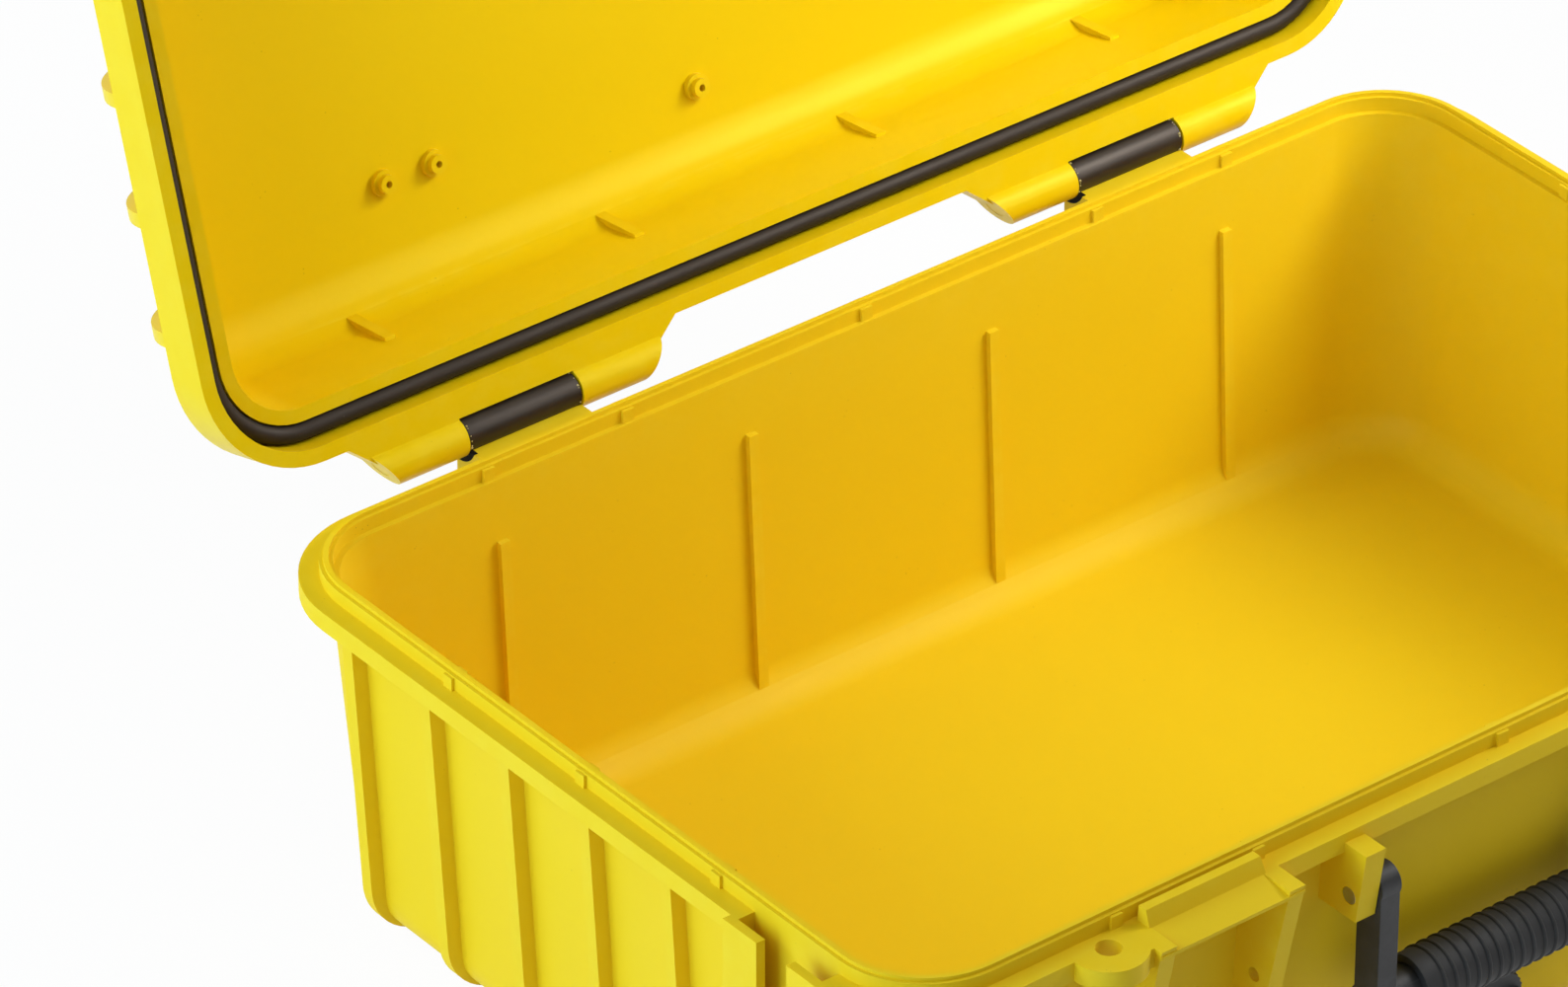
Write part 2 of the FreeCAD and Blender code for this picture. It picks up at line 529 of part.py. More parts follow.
# Lid moulding, modelled shut: walls and roof, skirt, outside ribs
lid_wall = tub("lid_wall", "lid_wall_inset", (LID_Z, "0"), (LID_TOP, "lid_lean"),
               NAMES["base_height"] + NAMES["lid_height"], NAMES["roof_radius"])
lid_rib_form = tub("lid_rib_form", "lid_wall_inset - rib_depth", (LID_Z, "0"), (LID_TOP, "lid_lean"),
                   NAMES["base_height"] + NAMES["lid_height"], NAMES["roof_radius"] + NAMES["rib_depth"])
lid_ribs = common("lid_ribs", lid_rib_form,
                  rib_slabs("lid_slab", (f"{RIM} + lid_flange_height / 2", LID_TOP)))
lid_skirt = slab("lid_skirt", "0", (LID_Z, f"{RIM} + lid_flange_height"))
lid_inner_top = f"{LID_TOP} - floor_thickness"
lid_hollow = tub("lid_hollow", "lid_wall_inset + wall_thickness", (f"{RIM} + lip_rise - spare", "0"),
                 (lid_inner_top, "lid_lean"),
                 NAMES["base_height"] + NAMES["lid_height"] - NAMES["floor_thickness"],
                 NAMES["roof_inner_radius"])
lid_mouth = slab("lid_mouth", "tongue_inset - tongue_clear", (f"{RIM} - spare", f"{RIM} + lip_rise"))
GROOVE_TOP = f"{GASKET_Z} + gasket_radius + gasket_seat"
lid_groove = cut("lid_groove",
                 slab("groove_outer", "tongue_inset - tongue_clear",
                      (f"{RIM} + lip_rise - spare", GROOVE_TOP)),
                 slab("groove_inner", "tongue_inset + tongue_thickness + tongue_clear",
                      (f"{RIM} + lip_rise - 2 * spare", f"{GROOVE_TOP} + spare")))

# Lid fittings on the right: latch pillars, plate and padlock eye
lid_fittings = []
for number, x in enumerate(PILLARS):
    pillar_low = (f"-({LATCH_Y} + latch_barrel)", f"-{LID_WALL_Y}")
    pillar_high = (f"-({LATCH_Y} - latch_barrel - pillar_foot)", f"-({LID_WALL_Y} - lid_lean)")
    lid_fittings.append(taper(f"lid_pillar_{number}", (x, pillar_low, LID_Z),
                              (x, pillar_high, f"{RIM} + lid_pillar_rise")))
lid_plate_z = (LID_Z, f"{LID_Z} + plate_thickness")
lid_fittings.append(block("lid_plate", BAY_OUTSIDE, (f"-{PLATE_Y}", f"-{LID_WALL_Y}"), lid_plate_z))
lid_lobe_z = (LID_Z, f"{LID_Z} + flange_thickness")
lid_fittings.append(rod("lid_lobe", "z", (*LOBE, LID_Z), "lobe_radius", "flange_thickness"))
lid_fittings.append(block("lid_lobe_web", *LOBE_WEB, lid_lobe_z))

# Hinge flap: it leaves the skirt in the skirt's own plane, narrows outwards and ends in the knuckles
KNUCKLE_EDGE = f"({HINGE_Y} + knuckle_radius)"
FLAP_ROOT = f"({HALF_WIDTH} - overlap)"
flap_z = (LID_Z, f"{HINGE_Z} + knuckle_radius")
flap_width = "hinge_length + 2 * hinge_flare"
HINGE_X = about("hinge_place", "hinge_length")
WIDE_X = about("hinge_place", flap_width)
knuckle_z = (f"{HINGE_Z} - knuckle_radius - spare", flap_z[1])
flap_outline = flare("flap_outline", (WIDE_X, FLAP_ROOT, knuckle_z), (HINGE_X, KNUCKLE_EDGE, knuckle_z))
flap_form = fuse("flap_form",
                 rod("knuckles", "x", (WIDE_X[0], HINGE_Y, HINGE_Z), "knuckle_radius", flap_width),
                 block("flap_plate", WIDE_X, (FLAP_ROOT, HINGE_Y), flap_z))
lid_fittings.append(common("hinge_flap", flap_form, flap_outline))
lid_fittings.append(flare("flap_root",
                          (about("hinge_place", f"{flap_width} + 2 * hinge_root"), FLAP_ROOT, flap_z),
                          (HINGE_X, f"{FLAP_ROOT} + hinge_root + hinge_setback", flap_z)))
web_x = about("hinge_place", "hinge_length - 2 * hinge_web_inset")
lid_fittings.append(taper("hinge_web", (web_x, (FLAP_ROOT, HINGE_Y), HINGE_Z),
                          (web_x, (f"{LID_WALL_Y} - lid_lean", f"{LID_WALL_Y} + overlap"),
                           f"{HINGE_Z} + hinge_web_rise")))
gap_x = about("hinge_place", "hinge_gap")
WINDOW = "(bush_radius + bush_clear)"
below = f"{HINGE_Z} - knuckle_radius - spare"
lid_cuts = (
    rod("lid_bush_room", "x", (gap_x[0], HINGE_Y, HINGE_Z), WINDOW, "hinge_gap"),
    block("lid_gap_front", gap_x, (f"{HINGE_Y} - {WINDOW}", HINGE_Y), (below, HINGE_Z)),
    block("lid_gap_back", gap_x, (HINGE_Y, f"{HINGE_Y} + 2 * knuckle_radius"),
          (below, f"{HINGE_Z} + {WINDOW}")),
    rod("lid_pin_hole", "x", (f"{WIDE_X[0]} - spare", HINGE_Y, HINGE_Z), "hinge_pin_radius + running_fit",
        f"{flap_width} + 2 * spare"),
    rod("lid_padlock_hole", "z", (*LOBE, f"{LID_Z} - spare"), "padlock_radius", "flange_thickness + spare"),
    block("shackle_notch", about("lobe_place", "2 * (padlock_radius + shackle_clear)"),
          (f"-({HALF_WIDTH} + spare)", f"-({HALF_WIDTH} + lobe_front - padlock_radius - shackle_clear)"),
          (lid_lobe_z[1], f"{RIM} + lid_flange_height + spare")),
    rod("lid_latch_hole", "x", (f"{BAY_OUTSIDE[0]} - spare", f"-{LATCH_Y}", LATCH_Z),
        "latch_pin_radius + seat_fit", BAY_THROUGH),
    block("strike_room", about("latch_place", "strike_length + 2 * strike_clear"),
          (f"{STRIKE_Y} - strike_base - strike_clear", f"{STRIKE_Y} + strike_gap"),
          (f"{RIM} - spare", f"{RIM} + strike_height + strike_clear")),
)

# Ribs and bosses inside the lid
lid_inner = []
for side in (-1, 1):
    for number, step in enumerate(RIB_STEPS):
        wide = about(f"{step} * inner_rib_pitch", "inner_rib_width")
        near = f"{LID_WALL_Y} - wall_thickness - lid_rib_depth"
        far = f"{LID_WALL_Y} - wall_thickness / 2"
        pairs = [(near, far), (f"{near} - lid_lean", f"{far} - lid_lean")]
        if side < 0:
            pairs = [tuple(f"-({end})" for end in reversed(pair)) for pair in pairs]
        lid_inner.append(taper(f"lid_inner_rib_{side + 1}_{number}",
                               (wide, pairs[0], f"{RIM} + lid_rib_rise"),
                               (wide, pairs[1], f"{LID_TOP} - roof_radius / 2")))
boss_spots = [("0", "boss_single_back")]
for side in (-1, 1):
    for step in (-0.5, 0.5):
        boss_spots.append((f"{side} * (boss_pair_place + {step} * boss_pair_pitch)", "boss_pair_back"))
boss_holes = []
boss_tip = f"{lid_inner_top} - boss_height"
for number, (x, y) in enumerate(boss_spots):
    lid_inner.append(rod(f"boss_{number}", "z", (x, y, f"{lid_inner_top} - boss_height / 2"), "boss_radius",
                         "boss_height / 2 + spare"))
    lid_inner.append(rod(f"boss_neck_{number}", "z", (x, y, boss_tip), "boss_neck", "boss_height + spare"))
    boss_holes.append(rod(f"boss_hole_{number}", "z", (x, y, f"{boss_tip} - spare"), "boss_hole",
                          "boss_height + spare"))

lid_fitted = both("lid_fittings_both", fuse("lid_fittings", *lid_fittings))
lid_solid = fuse("lid_solid", lid_wall, lid_ribs, lid_skirt, lid_fitted)
lid_cuts_both = both("lid_cuts", fuse("lid_cuts_right", *lid_cuts))
lid_open = cut("lid_open", lid_solid, lid_hollow, lid_mouth, lid_groove, lid_cuts_both)
lid_shell = cut("lid_shell", fuse("lid_dressed", lid_open, *lid_inner), *boss_holes)

hinge_point = FreeCAD.Vector(0, NAMES["flange_width"] / 2 + NAMES["hinge_setback"],
                             NAMES["base_height"] + NAMES["hinge_rise"])
LID_OPEN = FreeCAD.Placement(FreeCAD.Vector(),
                             FreeCAD.Rotation(FreeCAD.Vector(-1, 0, 0), NAMES["open_angle"]), hinge_point)
finish(lid_shell, "lid_shell", LID_OPEN)

# Gasket: one round cord, four straight runs and four quarter turns
cord_x = f"({TONGUE_LENGTH} - tongue_thickness) / 2"
cord_y = f"({TONGUE_WIDTH} - tongue_thickness) / 2"
cord_turn = "(flange_corner - tongue_inset - tongue_thickness / 2)"
run_x = f"({cord_x} - {cord_turn})"
run_y = f"({cord_y} - {cord_turn})"
cords = []
for side in (-1, 1):
    cords.append(rod(f"cord_long_{side + 1}", "x", (f"-{run_x}", f"{side} * {cord_y}", GASKET_Z),
                     "gasket_radius", f"2 * {run_x}"))
    cords.append(rod(f"cord_short_{side + 1}", "y", (f"{side} * {cord_x}", f"-{run_y}", GASKET_Z),
                     "gasket_radius", f"2 * {run_y}"))
for number, (side_x, side_y) in enumerate(((1, 1), (-1, 1), (-1, -1), (1, -1))):
    turn = doc.addObject("Part::Torus", f"cord_turn_{number}")
    turn.Placement = FreeCAD.Placement(FreeCAD.Vector(),
                                       FreeCAD.Rotation(FreeCAD.Vector(0, 0, 1), 90 * number))
    bind(turn, Radius1=cord_turn, Radius2="gasket_radius", Angle3="90")
    put(turn, f"{side_x} * {run_x}", f"{side_y} * {run_y}", GASKET_Z)
    cords.append(turn)
finish(fuse("lid_gasket", *cords), "lid_gasket", LID_OPEN)


def pair(right, name, placement=None):
    """Finish a piece on the right and its mirror image on the left, both turned alike."""
    left = mirrored(f"{name}_mirror", right)
    if placement is not None:
        right = mirrored(f"{name}_again", mirrored(f"{name}_back", right))
    finish(right, f"{name}_right", placement)
    finish(left, f"{name}_left", placement)


# Hinge bushes and pins
bush_body = rod("bush_body", "x", (f"{gap_x[0]} + hinge_side_gap", HINGE_Y, HINGE_Z), "bush_radius",
                "hinge_gap - 2 * hinge_side_gap")
bush_bore = rod("bush_bore", "x", (f"{gap_x[0]} - spare", HINGE_Y, HINGE_Z), "hinge_pin_radius + seat_fit",
                "hinge_gap + 2 * spare")
pair(cut("bush", bush_body, bush_bore), "hinge_bush")
pair(rod("hinge_pin", "x", (HINGE_X[0], HINGE_Y, HINGE_Z), "hinge_pin_radius", "hinge_length"), "hinge_pin")

# Latches and their pins
pair(rod("latch_pin", "x", (PILLARS[0][0], f"-{LATCH_Y}", LATCH_Z), "latch_pin_radius",
         "bay_width + 2 * pillar_thickness"), "latch_pin", LID_OPEN)
latch_width = "bay_width - 2 * latch_side_gap"
LATCH_X = about("latch_place", latch_width)
LIP_X = about("latch_place", "latch_lip_length")
CHEEKS = ((LATCH_X[0], f"{LATCH_X[0]} + latch_cheek"), (f"{LATCH_X[1]} - latch_cheek", LATCH_X[1]))
BACK_Y = f"(-({PLATE_Y} + latch_plate_gap))"
FRONT_Y = f"({BACK_Y} - latch_skin)"
INTO_SKIN = f"{BACK_Y} - overlap"
CHEEK_Y = (INTO_SKIN, f"-{DETENT_Y} + 2 * detent_radius")
HOOK_Z = f"({RIM} - plate_thickness - latch_hook_gap)"
TAIL_Z = f"({RIM} - latch_tail)"
DETENT_Z = f"({RIM} - detent_drop)"
latch_parts = [
    rod("latch_barrel_rod", "x", (LATCH_X[0], f"-{LATCH_Y}", LATCH_Z), "latch_barrel", latch_width),
    block("latch_skin_plate", LATCH_X, (FRONT_Y, BACK_Y), (TAIL_Z, LATCH_Z)),
    block("latch_hook", LATCH_X, (INTO_SKIN, f"-{PLATE_Y} + latch_hook_reach"),
          (f"{HOOK_Z} - latch_hook_depth", HOOK_Z)),
    taper("latch_finger_lip", (LIP_X, (f"{FRONT_Y} - latch_lip", f"{FRONT_Y} + overlap"), TAIL_Z),
          (LIP_X, (f"{FRONT_Y} - latch_lip_edge", f"{FRONT_Y} + overlap"), f"{TAIL_Z} + 2 * latch_lip")),
]
bump_ends = (f"{LATCH_X[0]} - latch_bump", CHEEKS[1][0])
for number, x in enumerate(CHEEKS):
    latch_parts.append(taper(f"latch_cheek_{number}",
                             (x, (INTO_SKIN, f"{BACK_Y} + latch_skin"), f"{TAIL_Z} + latch_lip"),
                             (x, CHEEK_Y, f"{DETENT_Z} - 2 * detent_radius")))
    latch_parts.append(block(f"latch_cheek_top_{number}", x, CHEEK_Y,
                             about(DETENT_Z, "4 * detent_radius")))
    latch_parts.append(rod(f"latch_bump_{number}", "x", (bump_ends[number], f"-{DETENT_Y}", DETENT_Z),
                           "detent_radius - bump_clear", "latch_bump + latch_cheek"))
latch_bore = rod("latch_bore", "x", (f"{LATCH_X[0]} - spare", f"-{LATCH_Y}", LATCH_Z),
                 "latch_pin_radius + running_fit", "bay_width + 2 * spare")
latch = cut("latch", fuse("latch_body", *latch_parts), latch_bore)
latch_point = FreeCAD.Vector(0, -(NAMES["flange_width"] / 2 + NAMES["plate_reach"] + NAMES["latch_front"]),
                             NAMES["base_height"] + NAMES["latch_rise"])
LATCH_OPEN = FreeCAD.Placement(FreeCAD.Vector(),
                               FreeCAD.Rotation(FreeCAD.Vector(-1, 0, 0), NAMES["latch_angle"]), latch_point)
pair(latch, "latch", LID_OPEN.multiply(LATCH_OPEN))

# Carrying handle with its soft grip and pins
ARM_X = ("handle_span / 2 - handle_side_gap - handle_arm", "handle_span / 2 - handle_side_gap")
arm = fuse("arm", rod("arm_eye", "x", (ARM_X[0], f"-{HANDLE_Y}", HANDLE_Z), "handle_barrel", "handle_arm"),
           block("arm_side", ARM_X, about(f"-{HANDLE_Y}", "handle_depth"), (BAR_Z, HANDLE_Z)),
           rod("arm_foot", "x", (ARM_X[0], f"-{HANDLE_Y}", BAR_Z), "bar_radius", "handle_arm"))
bar = rod("bar", "x", (f"-({ARM_X[0]}) - overlap", f"-{HANDLE_Y}", BAR_Z), "bar_radius",
          f"2 * ({ARM_X[0]} + overlap)")
arm_bores = both("arm_bores", rod("arm_bore", "x", (f"{ARM_X[0]} - spare", f"-{HANDLE_Y}", HANDLE_Z),
                                  "handle_pin_radius + running_fit", "handle_arm + 2 * spare"))
finish(cut("handle_bail", fuse("handle_body", both("arms", arm), bar), arm_bores), "handle_bail")
grip_body = rod("grip_body", "x", ("-grip_length / 2", f"-{HANDLE_Y}", BAR_Z), "grip_radius", "grip_length")
grip_bore = rod("grip_bore", "x", ("-grip_length / 2 - spare", f"-{HANDLE_Y}", BAR_Z),
                "bar_radius + grip_fit", "grip_length + 2 * spare")
finish(cut("handle_grip", grip_body, grip_bore), "handle_grip")
pair(rod("handle_pin", "x", (ARM_X[0], f"-{HANDLE_Y}", HANDLE_Z), "handle_pin_radius",
         "handle_arm + handle_side_gap + lug_thickness"), "handle_pin")

# Purge valve: body through the wall, washer, nut, ring seal and knob
COLLAR_Y = f"-({VALVE_Y} + valve_washer_depth)"
SEAT_Y = f"({COLLAR_Y} - valve_collar_depth)"
KNOB_Y = f"({SEAT_Y} - 2 * valve_seal - 2 * valve_seal_room)"
NUT_Y = f"(-{VALVE_Y} + valve_boss_depth)"


def disc(name, start_y, radius, depth):
    """Make a disc about the valve axis."""
    return rod(name, "y", ("0", start_y, VALVE_Z), radius, depth)


def ring(name, start_y, outer, inner, depth):
    """Make a flat ring about the valve axis."""
    return cut(name, disc(f"{name}_disc", start_y, outer, depth),
               disc(f"{name}_bore", f"{start_y} - spare", inner, f"{depth} + 2 * spare"))


VALVE_HOLE = "valve_neck + seat_fit"
finish(ring("valve_washer", COLLAR_Y, "valve_collar", VALVE_HOLE, "valve_washer_depth"), "valve_washer")
finish(ring("valve_nut", NUT_Y, "valve_nut", VALVE_HOLE, "valve_nut_depth"), "valve_nut")
neck_length = "valve_collar_depth + valve_washer_depth + valve_boss_depth + valve_nut_depth"
valve_solid = fuse("valve_solid", disc("valve_collar_disc", SEAT_Y, "valve_collar", "valve_collar_depth"),
                   disc("valve_neck_rod", SEAT_Y, "valve_neck", neck_length))
BORE_START = f"({SEAT_Y} - spare)"
valve_bore = disc("valve_bore", BORE_START, "valve_stem + running_fit",
                  f"{KNOB_Y} + valve_stem_length + valve_stem_room - {BORE_START}")
finish(cut("valve_body", valve_solid, valve_bore), "valve_body")
knob = fuse("valve_knob",
            disc("knob_disc", f"{KNOB_Y} - valve_knob_depth / 2", "valve_knob", "valve_knob_depth / 2"),
            block("knob_wing", about(0, "valve_wing_length"), (f"{KNOB_Y} - valve_knob_depth", KNOB_Y),
                  about(VALVE_Z, "valve_wing")),
            disc("knob_stem", f"{KNOB_Y} - spare", "valve_stem", "valve_stem_length + spare"))
finish(knob, "valve_knob")
seal = doc.addObject("Part::Torus", "valve_seal")
seal.Placement = FreeCAD.Placement(FreeCAD.Vector(), TURNS["y"])
bind(seal, Radius1="valve_seal_ring", Radius2="valve_seal")
put(seal, "0", f"{KNOB_Y} + valve_seal_room + valve_seal", VALVE_Z)
finish(seal, "valve_seal")

doc.recompute()

# Every object must be sound before anything is written
for obj in doc.Objects:
    if "Invalid" in obj.State or "Error" in obj.State:
        raise RuntimeError(f"{obj.Name} failed: {obj.State}")
os.makedirs("parts", exist_ok=True)
for piece in pieces:
    shape = piece.Shape
    if shape.isNull() or not shape.isValid() or not shape.Solids:
        raise RuntimeError(f"{piece.Label} has no sound solid")
    print(f"{piece.Label}: {len(shape.Solids)} solid, {shape.Volume / 1000:.1f} cm3, box {shape.BoundBox}")
for piece in pieces:
    piece.Shape.exportStep(f"parts/{piece.Label}.step")
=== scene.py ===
"""Dresses the open hard case: moulded yellow shells, black fittings, steel pins, studio and camera."""
from __future__ import annotations

import json
import logging
import math
from dataclasses import dataclass
from enum import Enum
from typing import Sequence

import bmesh
import bpy
from mathutils import Matrix, Vector

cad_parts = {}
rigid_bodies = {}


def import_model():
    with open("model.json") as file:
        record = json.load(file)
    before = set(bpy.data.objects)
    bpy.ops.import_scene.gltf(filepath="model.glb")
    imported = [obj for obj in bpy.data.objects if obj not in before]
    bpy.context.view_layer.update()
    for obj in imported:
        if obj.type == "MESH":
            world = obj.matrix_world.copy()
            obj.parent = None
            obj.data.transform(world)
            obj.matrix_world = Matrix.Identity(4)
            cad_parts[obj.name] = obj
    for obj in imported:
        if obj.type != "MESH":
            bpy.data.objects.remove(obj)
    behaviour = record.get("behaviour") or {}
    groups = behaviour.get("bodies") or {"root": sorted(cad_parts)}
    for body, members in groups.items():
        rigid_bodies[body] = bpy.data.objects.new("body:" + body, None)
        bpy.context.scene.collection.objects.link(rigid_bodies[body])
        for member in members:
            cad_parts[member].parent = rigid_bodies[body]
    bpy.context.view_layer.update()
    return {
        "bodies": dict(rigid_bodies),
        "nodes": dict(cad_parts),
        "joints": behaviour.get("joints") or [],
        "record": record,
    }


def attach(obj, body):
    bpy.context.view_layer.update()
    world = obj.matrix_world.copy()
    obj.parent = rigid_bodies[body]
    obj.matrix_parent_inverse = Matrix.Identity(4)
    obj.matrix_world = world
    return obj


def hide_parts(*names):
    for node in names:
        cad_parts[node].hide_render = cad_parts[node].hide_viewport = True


LOG = logging.getLogger("hard_case")
MM = 0.001
QUARTER_TURN = math.pi / 2
FLOAT = "NodeSocketFloat"
RGBA = tuple[float, float, float, float]
Point = tuple[float, float, float]
Socket = bpy.types.NodeSocket
Material = bpy.types.Material
Piece = bpy.types.Object
WHITE: RGBA = (1.0, 1.0, 1.0, 1.0)


class Slot(Enum):
    """Material slots of the record."""

    SHELL = "yellow_shell"
    SEAL = "gasket_rubber"
    BUSH = "black_bush"
    PIN = "steel_pin"
    LATCH = "black_latch"
    HANDLE = "black_handle"
    GRIP = "grip_rubber"


class Side(Enum):
    """The two mirrored halves of the case."""

    LEFT = -1
    RIGHT = 1

    @property
    def word(self) -> str:
        """Name of the side as node names spell it."""
        return self.name.lower()


def linear(red: int, green: int, blue: int) -> RGBA:
    """Turn a screen colour of 0 to 255 into a linear one.

    Args:
        red: Red part.
        green: Green part.
        blue: Blue part.

    Returns:
        The linear colour with full alpha.
    """
    parts = []
    for value in (red, green, blue):
        share = value / 255
        parts.append(share / 12.92 if share <= 0.04045 else ((share + 0.055) / 1.055) ** 2.4)
    return (parts[0], parts[1], parts[2], 1.0)


class Nodes:
    """Small helper that adds and links nodes in one tree."""

    NOISE_ROUGHNESS = 0.55
    # The colour sockets of a mix node share their names with those of its other types.
    MIX_INPUTS = (0, 6, 7)
    MIX_OUTPUT = 2

    def __init__(self, tree: bpy.types.NodeTree) -> None:
        """Keep the tree that nodes are added to."""
        self.tree = tree

    def put(self, socket: Socket, value: object) -> None:
        """Link an input from a socket, or set a plain value on it."""
        if isinstance(value, Socket):
            self.tree.links.new(value, socket)
        else:
            socket.default_value = value

    def add(self, kind: str, **settings: object) -> bpy.types.Node:
        """Add a node.

        Args:
            kind: Type name of the node.
            settings: Properties to set on it.

        Returns:
            The new node.
        """
        node = self.tree.nodes.new(kind)
        for name, value in settings.items():
            setattr(node, name, value)
        return node

    def feed(self, node: bpy.types.Node, **inputs: object) -> bpy.types.Node:
        """Set or link inputs of a node, with spaces in their names written as underscores.

        Args:
            node: The node to feed.
            inputs: A socket to link from, or a plain value, for each input.

        Returns:
            The same node.
        """
        for name, value in inputs.items():
            self.put(node.inputs[name.replace("_", " ")], value)
        return node

    def math(self, operation: str, *values: object) -> Socket:
        """Add a math node.

        Args:
            operation: Name of the operation.
            values: Sockets or numbers for its inputs.

        Returns:
            The result's socket.
        """
        node = self.add("ShaderNodeMath", operation=operation)
        for number, value in enumerate(values):
            self.put(node.inputs[number], value)
        return node.outputs[0]

    def noise(self, vector: Socket, scale: object, detail: float = 2.0) -> Socket:
        """Add a noise texture and return its factor.

        Args:
            vector: Where the noise is read.
            scale: Its scale, a number or a socket.
            detail: Its number of octaves.

        Returns:
            The factor's socket.
        """
        node = self.add("ShaderNodeTexNoise")
        self.feed(node, Vector=vector, Scale=scale, Detail=detail, Roughness=self.NOISE_ROUGHNESS)
        return node.outputs["Fac"]

    def ramp(self, value: Socket, low: object, high: object) -> Socket:
        """Stretch a value so that low gives 0 and high gives 1.

        Args:
            value: Socket to stretch.
            low: Value that becomes 0, a number or a socket.
            high: Value that becomes 1, a number or a socket.

        Returns:
            The clamped result.
        """
        node = self.add("ShaderNodeMapRange", clamp=True, interpolation_type="SMOOTHSTEP")
        self.feed(node, Value=value, From_Min=low, From_Max=high, To_Min=0.0, To_Max=1.0)
        return node.outputs[0]

    def mix(self, share: object, first: object, second: object) -> Socket:
        """Mix two colours.

        Args:
            share: How much of the second colour, a number or a socket.
            first: First colour.
            second: Second colour.

        Returns:
            The mixed colour.
        """
        node = self.add("ShaderNodeMix", data_type="RGBA")
        for number, value in zip(self.MIX_INPUTS, (share, first, second)):
            self.put(node.inputs[number], value)
        return node.outputs[self.MIX_OUTPUT]

    def surface(self, shader: Socket) -> None:
        """End a material's tree with a shader."""
        self.feed(self.add("ShaderNodeOutputMaterial"), Surface=shader)


class EffectGroup:
    """A shader node group with named float inputs and outputs, built once and shared."""

    def __init__(self, name: str, inputs: dict[str, float], outputs: Sequence[str]) -> None:
        """Make the group and its sockets.

        Args:
            name: Name of the group.
            inputs: Default of each input.
            outputs: Name of each output.
        """
        self.tree = bpy.data.node_groups.new(name, "ShaderNodeTree")
        for title, default in inputs.items():
            socket = self.tree.interface.new_socket(title, in_out="INPUT", socket_type=FLOAT)
            socket.default_value = default
        for title in outputs:
            self.tree.interface.new_socket(title, in_out="OUTPUT", socket_type=FLOAT)
        self.nodes = Nodes(self.tree)
        self.inputs = self.nodes.add("NodeGroupInput").outputs
        self.sink = self.nodes.add("NodeGroupOutput")

    def give(self, **sockets: Socket) -> None:
        """Link results to the group's outputs."""
        self.nodes.feed(self.sink, **sockets)

    def place(self, nodes: Nodes, **values: object) -> bpy.types.Node:
        """Put the group in a material.

        Args:
            nodes: Helper of the material's tree.
            values: Inputs to set or link.

        Returns:
            The group node.
        """
        node = nodes.add("ShaderNodeGroup")
        node.node_tree = self.tree
        return nodes.feed(node, **values)


